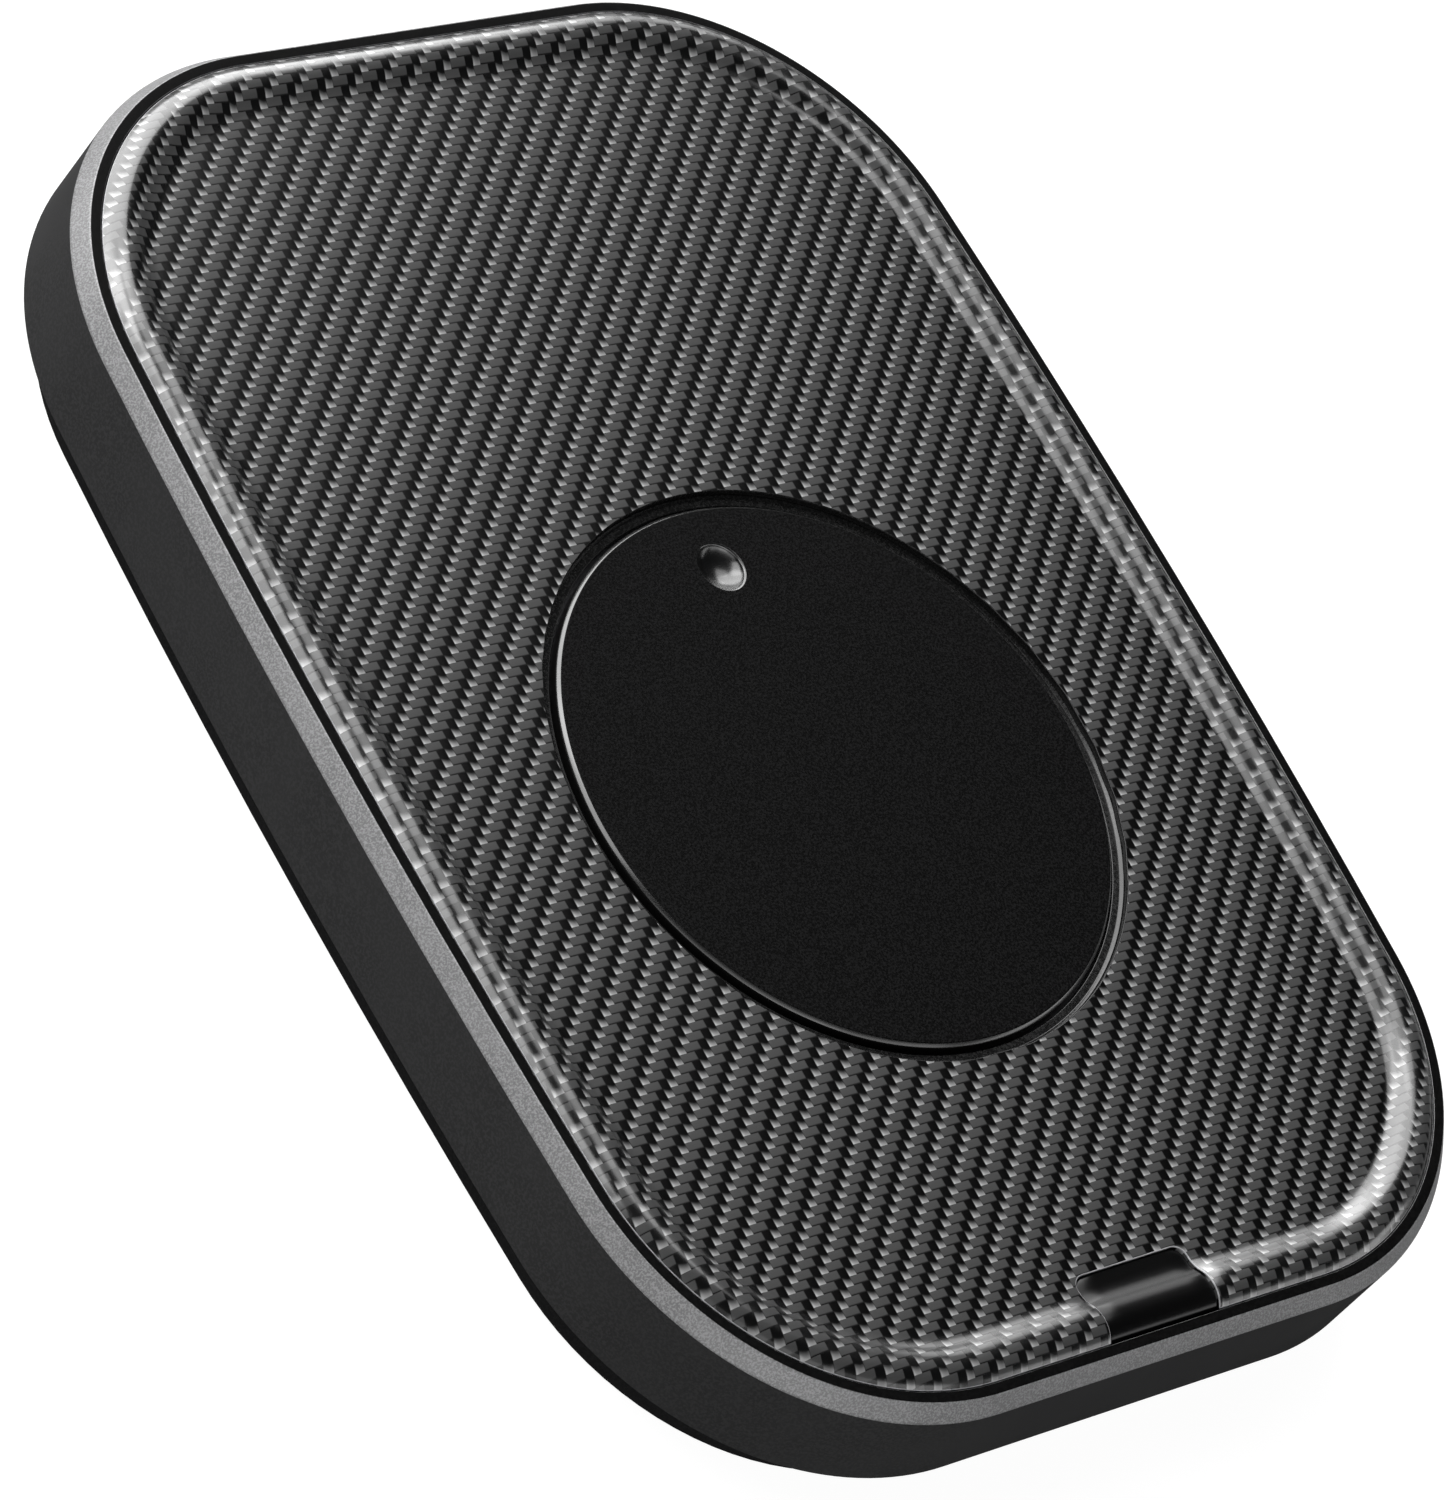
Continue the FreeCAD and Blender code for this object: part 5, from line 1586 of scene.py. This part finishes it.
@dataclass
class Underside:
    """What shows below: the cover, the rubber feet and the housing screws."""

    cover_finish: Finish
    foot_finish: Finish
    screw_finish: Finish
    pattern: Pattern
    cover_round: float = 0.15
    foot_radius: float = 6.0
    foot_top: float = 1.3
    foot_round: float = 0.2
    foot_x: float = 28.0
    foot_y: float = 44.0
    foot_steps: int = 48
    groove_starts: Point2 = (2.4, 4.2)
    groove_width: float = 0.5
    groove_depth: float = 0.1
    groove_round: float = 0.04
    screw_x: float = 35.0
    screw_y: float = 28.0
    screw_steps: int = 40
    head_radius: float = 2.2
    head_bottom: float = 1.0
    head_top: float = 2.5
    head_round: float = 0.35
    collar_round: float = 0.05
    shank_radius: float = 1.25
    shank_top: float = 9.5
    tip_round: float = 0.3
    recess_arm: float = 1.25
    recess_end_arm: float = 0.75
    recess_half: float = 0.28
    recess_end_half: float = 0.196
    recess_above: float = 0.2
    recess_depth: float = 0.9

    def build(self) -> list[bpy.types.Object]:
        """Build the underside's pieces and return them."""
        cover = softened("bottom_cover", self.cover_round)
        dress(cover, self.cover_finish)
        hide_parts("bottom_cover")
        feet = self.pattern.spread(
            "rubber_feet_round", self._foot(), self.foot_finish, (2, 2),
            (2 * self.foot_x, 2 * self.foot_y),
        )
        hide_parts("rubber_feet")
        screws = self.pattern.spread(
            "housing_screws_cross", self._screw(), self.screw_finish, (2, 2),
            (2 * self.screw_x, 2 * self.screw_y),
        )
        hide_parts("housing_screws")
        for piece in (cover, feet, screws):
            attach(piece, "housing")
        return [cover, feet, screws]

    def _foot(self) -> bpy.types.Object:
        """Return one foot with a rounded edge and two shallow rings."""
        width, depth, bend = self.groove_width, self.groove_depth, self.groove_round
        section = [(0.0, 0.0, 0.0)]
        for start in self.groove_starts:
            section += [
                (start, 0.0, 0.0), (start + depth, depth, bend),
                (start + width - depth, depth, bend), (start + width, 0.0, 0.0),
            ]
        section += [
            (self.foot_radius, 0.0, self.foot_round), (self.foot_radius, self.foot_top, 0.0),
            (0.0, self.foot_top, 0.0),
        ]
        sketch = MeshSketch()
        sketch.turn(rounded_corners(section, closed=False), (0.0, 0.0), self.foot_steps)
        return sketch.finish("foot_copy")

    def _screw(self) -> bpy.types.Object:
        """Return one screw, head down, with a cross recess."""
        sketch = MeshSketch()
        sketch.turn(rounded_corners([
            (0.0, self.head_bottom, 0.0), (self.head_radius, self.head_bottom, self.head_round),
            (self.head_radius, self.head_top, self.collar_round),
            (self.shank_radius, self.head_top, 0.0),
            (self.shank_radius, self.shank_top, self.tip_round), (0.0, self.shank_top, 0.0),
        ], closed=False), (0.0, 0.0), self.screw_steps)
        screw = sketch.finish("screw_copy")
        recess = MeshSketch()
        recess.skin([
            recess.ring(self._cross(arm, half, self.head_bottom + rise))
            for arm, half, rise in (
                (self.recess_arm, self.recess_half, -self.recess_above),
                (self.recess_arm, self.recess_half, 0.0),
                (self.recess_end_arm, self.recess_end_half, self.recess_depth),
            )
        ], capped=True)
        carve(screw, recess.finish("recess_tool"))
        return screw

    @staticmethod
    def _cross(arm: float, half: float, height: float) -> list[Point3]:
        """Draw a cross.

        Args:
            arm: How far its arms reach.
            half: Half their width.
            height: The height that it lies at.

        Returns:
            The cross's outline.
        """
        points = []
        for quarter in range(4):
            angle = quarter * math.pi / 2
            way = Vector((math.cos(angle), math.sin(angle)))
            side = Vector((-way.y, way.x))
            corners = (way * arm - side * half, way * arm + side * half, (way + side) * half)
            points += [(corner.x, corner.y, height) for corner in corners]
        return points


@dataclass
class ChargingSocket:
    """The gilt contacts on the tongue of the charging socket."""

    finish: Finish
    pattern: Pattern
    count: int = 12
    pitch: float = 0.5
    width: float = 0.28
    length: float = 3.2
    height: float = 0.74
    middle: Point3 = (0.0, 61.5, 8.63)

    def build(self) -> bpy.types.Object:
        """Build the contacts, which show above and below the tongue, and return them."""
        sketch = MeshSketch()
        sketch.skin([
            sketch.ring([
                (x * self.width / 2, end * self.length / 2, z * self.height / 2)
                for x, z in ((-1, -1), (1, -1), (1, 1), (-1, 1))
            ])
            for end in (-1, 1)
        ], capped=True)
        piece = self.pattern.spread(
            "socket_contacts", sketch.finish("contact_copy"), self.finish, (self.count, 1),
            (self.pitch * (self.count - 1), 0.0), self.middle,
        )
        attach(piece, "housing")
        return piece


# ---------------------------------------------------------------------------------------------
# The studio
# ---------------------------------------------------------------------------------------------
@dataclass(frozen=True)
class Softbox:
    """A soft lamp: a flat glowing panel; lengths in millimetres, the spread in degrees.

    The radiance is how bright its face is from straight before it. A smaller spread gives it
    softer edges. It shines the way that it is facing, or else towards the object.
    """

    name: str
    middle: Point3
    size: Point2
    radiance: float
    spread: float = 180.0
    facing: Point3 | None = None

    def build(self) -> None:
        """Build the lamp, with a narrower spread's power cut so that its face stays as bright."""
        lamp = bpy.data.lights.new(self.name, "AREA")
        lamp.shape = "RECTANGLE"
        lamp.size, lamp.size_y = self.size[0] * MM, self.size[1] * MM
        lamp.spread = math.radians(self.spread)
        lamp.energy = self.radiance * math.pi * lamp.size * lamp.size_y
        if self.spread < 179.0:
            slope = math.tan(lamp.spread / 2)
            lamp.energy *= (slope - lamp.spread / 2) / slope
        made = add_object(self.name, lamp)
        made.location = Vector(self.middle) * MM
        way = Vector(self.facing) if self.facing else -Vector(self.middle)
        made.rotation_euler = way.to_track_quat("-Z", "Y").to_euler()


LAMPS = (
    Softbox(
        "rear_softbox", (90.0, 1250.0, 900.0), (2300.0, 1700.0), 5.6, 145.0, (0.0, -1.0, -0.36)
    ),
    Softbox("rear_left_softbox", (-310.0, 255.0, 320.0), (470.0, 310.0), 4.0, 150.0),
    Softbox("rear_top_softbox", (285.0, 530.0, 1370.0), (900.0, 750.0), 2.6, 130.0),
    Softbox("rear_right_strip", (920.0, 980.0, 430.0), (540.0, 620.0), 1.8, 150.0),
    Softbox("front_right_strip", (1090.0, -851.0, 219.0), (1000.0, 380.0), 1.7),
    Softbox("front_low_fill", (-180.0, -1420.0, 420.0), (2000.0, 900.0), 1.5),
    Softbox("front_fill", (-1700.0, -1700.0, 1000.0), (3400.0, 2000.0), 1.15),
)


@dataclass
class Studio:
    """The floor, the lights and the camera; the floor's reach and the clips are in metres."""

    lamps: Sequence[Softbox] = LAMPS
    floor_reach: float = 6.0
    floor_grey: float = 0.2
    floor_glow: float = 0.93
    fill_colour: Colour = (0.93, 0.97, 1.0)
    fill_strength: float = 0.03
    camera_place: Point3 = (-409.587, -192.154, 430.533)
    camera_right: Point3 = (0.7305742, -0.4760181, 0.4895591)
    camera_down: Point3 = (-0.1762385, -0.8241107, -0.5383136)
    focal_pixels: float = 7637.8
    tall_pixels: float = 1500.0
    sensor: float = 36.0
    clips: Point2 = (0.01, 20.0)

    def build(self) -> None:
        """Build everything round the object."""
        self._floor()
        self._world()
        for lamp in self.lamps:
            lamp.build()
        self._camera()
        bpy.context.scene.view_settings.view_transform = "Standard"

    def _floor(self) -> None:
        """Build the pale floor, whose colour shows nearly white with the object's shadow."""
        reach = self.floor_reach
        data = bpy.data.meshes.new("studio_floor")
        data.from_pydata(
            [(-reach, -reach, 0), (reach, -reach, 0), (reach, reach, 0), (-reach, reach, 0)],
            [], [(0, 1, 2, 3)],
        )
        floor = add_object("studio_floor", data)
        material = bpy.data.materials.new("studio_floor_paint")
        material.use_nodes = True
        sketch = NodeSketch(material.node_tree)
        seen = sketch.out(sketch.node("ShaderNodeLightPath"), "Is Camera Ray")
        paint = sketch.node("ShaderNodeBsdfDiffuse", {"Color": (self.floor_grey,) * 3})
        glow = sketch.node("ShaderNodeEmission", {"Strength": seen * self.floor_glow})
        both = sketch.node("ShaderNodeAddShader", {0: sketch.out(paint), 1: sketch.out(glow)})
        sketch.node("ShaderNodeOutputMaterial", {"Surface": sketch.out(both)})
        data.materials.append(material)

    def _world(self) -> None:
        """Build the dim, even fill light."""
        world = bpy.data.worlds.new("studio_world")
        world.use_nodes = True
        bpy.context.scene.world = world
        sketch = NodeSketch(world.node_tree)
        fill = sketch.node("ShaderNodeBackground", {
            "Color": self.fill_colour, "Strength": self.fill_strength,
        })
        sketch.node("ShaderNodeOutputWorld", {"Surface": sketch.out(fill)})

    def _camera(self) -> None:
        """Build the camera from its place and the two directions of its picture."""
        right, up = Vector(self.camera_right), -Vector(self.camera_down)
        turn = Matrix((right, up, right.cross(up))).transposed().to_4x4()
        data = bpy.data.cameras.new("main_camera")
        data.sensor_fit = "AUTO"
        data.sensor_width = self.sensor
        data.lens = self.sensor * self.focal_pixels / self.tall_pixels
        data.clip_start, data.clip_end = self.clips
        camera = add_object("main_camera", data)
        camera.matrix_world = Matrix.Translation(Vector(self.camera_place) * MM) @ turn
        bpy.context.scene.camera = camera


# ---------------------------------------------------------------------------------------------
# Finishes by node
# ---------------------------------------------------------------------------------------------
@dataclass
class FinishSet:
    """Every finish of the object, by the use it has."""

    effects: Effects

    def __post_init__(self) -> None:
        """Make the finishes."""
        fx = self.effects
        self.frame = MouldedPlastic(
            fx, "frame_satin_plastic", (0.034, 0.034, 0.0345), 0.6, specular=0.01
        )
        self.bevel = MouldedPlastic(
            fx, "bevel_grained_grey", (0.225, 0.225, 0.228), 0.45, grain_size=0.17,
            grain_depth=0.01, mottle=0.22, specular=0.2, metallic=0.3,
        )
        # Near black: painted shade for the ledge and the wall inside it, in the gap beside the
        # tray.
        self.ledge = MouldedPlastic(
            fx, "ledge_gap_painted_shade", (0.002, 0.002, 0.002), 0.5, specular=0.04, mottle=0.4
        )
        self.cover = MouldedPlastic(
            fx, "cover_matt_plastic", (0.014, 0.014, 0.0143), 0.65, specular=0.01
        )
        self.inner = MouldedPlastic(fx, "inner_plastic", (0.03, 0.03, 0.032), 0.5)
        self.disc = MouldedPlastic(
            fx, "disc_satin_plastic", (0.0026, 0.0026, 0.0027), 0.5, grain_size=0.2,
            specular=0.05, mottle=0.8, grain_depth=0.02,
        )
        self.dimple = MouldedPlastic(
            fx, "dimple_polished", (0.003, 0.003, 0.003), 0.3, grain_depth=0.0001,
            uneven=0.01, coat=1.0, coat_roughness=0.2,
        )
        self.gloss = MouldedPlastic(
            fx, "gloss_black_plastic", (0.004, 0.004, 0.004), 0.25, grain_depth=0.0005
        )
        self.button = MouldedPlastic(
            fx, "button_gloss_plastic", (0.0015, 0.0015, 0.0015), 0.24, grain_depth=0.0001,
            specular=0.3, uneven=0.01,
        )
        self.rubber = MouldedPlastic(
            fx, "black_rubber", (0.018, 0.018, 0.018), 0.75, grain_size=0.4, grain_depth=0.02
        )
        self.gear = MouldedPlastic(
            fx, "acetal_white", (0.78, 0.77, 0.72), 0.35, grain_depth=0.002
        )
        self.bush = MouldedPlastic(fx, "bearing_plastic_grey", (0.3, 0.3, 0.31), 0.4)
        self.sleeve = MouldedPlastic(
            fx, "capacitor_sleeve_blue", (0.01, 0.02, 0.06), 0.3, grain_depth=0.001
        )
        self.switch = MouldedPlastic(fx, "switch_black_plastic", (0.02, 0.02, 0.02), 0.45)
        self.chip = MouldedPlastic(
            fx, "chip_resin", (0.015, 0.015, 0.016), 0.55, grain_size=0.12, grain_depth=0.01
        )
        self.steel = RolledMetal(fx, "zinc_steel", (0.6, 0.6, 0.61), 0.3)
        self.plate = RolledMetal(fx, "plate_steel_rolled", (0.52, 0.53, 0.55), 0.38, 0.2)
        self.motor = RolledMetal(fx, "motor_steel_drawn", (0.62, 0.62, 0.63), 0.28, 0.3)
        self.socket = RolledMetal(fx, "socket_steel_drawn", (0.55, 0.55, 0.56), 0.25, 0.08)
        self.brass = RolledMetal(fx, "pinion_brass", (0.75, 0.5, 0.2), 0.25)
        self.gold = RolledMetal(fx, "contact_gold", (0.85, 0.6, 0.25), 0.22, 0.05)
        self.board = CircuitBoard(fx, "board_green_mask")
        self.film = WovenFilm(fx, "woven_film_gloss")
        # Pale grey: a painted highlight along the film's cut edge.
        self.film_edge_highlight = MouldedPlastic(
            fx, "film_edge_painted_highlight", (0.3, 0.3, 0.31), 0.35, grain_depth=0.001
        )

    def by_node(self) -> dict[str, Finish]:
        """Return each CAD node's finish, also of the nodes that a piece replaces."""
        used = (
            (self.inner, "deck"), (self.cover, "bottom_cover"), (self.rubber, "rubber_feet"),
            (self.steel, "housing_screws output_shaft shaft_clip gear_pins plate_screws"),
            (self.steel, "motor_screws motor_shaft board_screws"),
            (self.chip, "motor_terminals socket_tongue driver_chip control_chip"),
            (self.bush, "output_bush"), (self.gear, "output_gear second_gear first_gear"),
            (self.plate, "gear_plate"), (self.motor, "motor_can motor_flange"),
            (self.brass, "motor_pinion"), (self.board, "main_board"),
            (self.socket, "socket_shell"), (self.sleeve, "capacitors"),
            (self.switch, "switch_body switch_plunger"), (self.frame, "side_frame"),
            (self.film, "tray_panel"), (self.disc, "turntable_disc"),
            (self.gloss, "disc_bezel"), (self.button, "button_cap"),
        )
        return {node: finish for finish, nodes in used for node in nodes.split()}


def dress_nodes(finishes: FinishSet) -> None:
    """Give every CAD node its finish.

    Args:
        finishes: The object's finishes.
    """
    for node, finish in finishes.by_node().items():
        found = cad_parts[node]
        found.data.materials.clear()
        found.data.materials.append(finish.material())
        LOG.info("%s has the finish %s", node, finish.name)


def main() -> None:
    """Build the object's pieces in order and dress them."""
    logging.basicConfig(level=logging.INFO, format="%(message)s")
    finishes = FinishSet(Effects())
    outline, bead, notch = PadOutline(), BeadForm(), Notch()
    dress_nodes(finishes)
    report(TrayPanel(
        finishes.film, finishes.film_edge_highlight, finishes.gloss, outline, bead, notch
    ).build())
    report(SideFrame(finishes.frame, finishes.bevel, finishes.ledge, outline).build())
    report(Turntable(finishes.disc, finishes.dimple).build())
    report(DiscLiner(finishes.gloss).build())
    report(PowerButton(finishes.button, outline, bead, notch).build())
    pattern = Pattern("copies_on_a_grid")
    report(*Underside(finishes.cover, finishes.rubber, finishes.steel, pattern).build())
    report(ChargingSocket(finishes.gold, pattern).build())
    Studio().build()


if __name__ == "__main__":
    main()
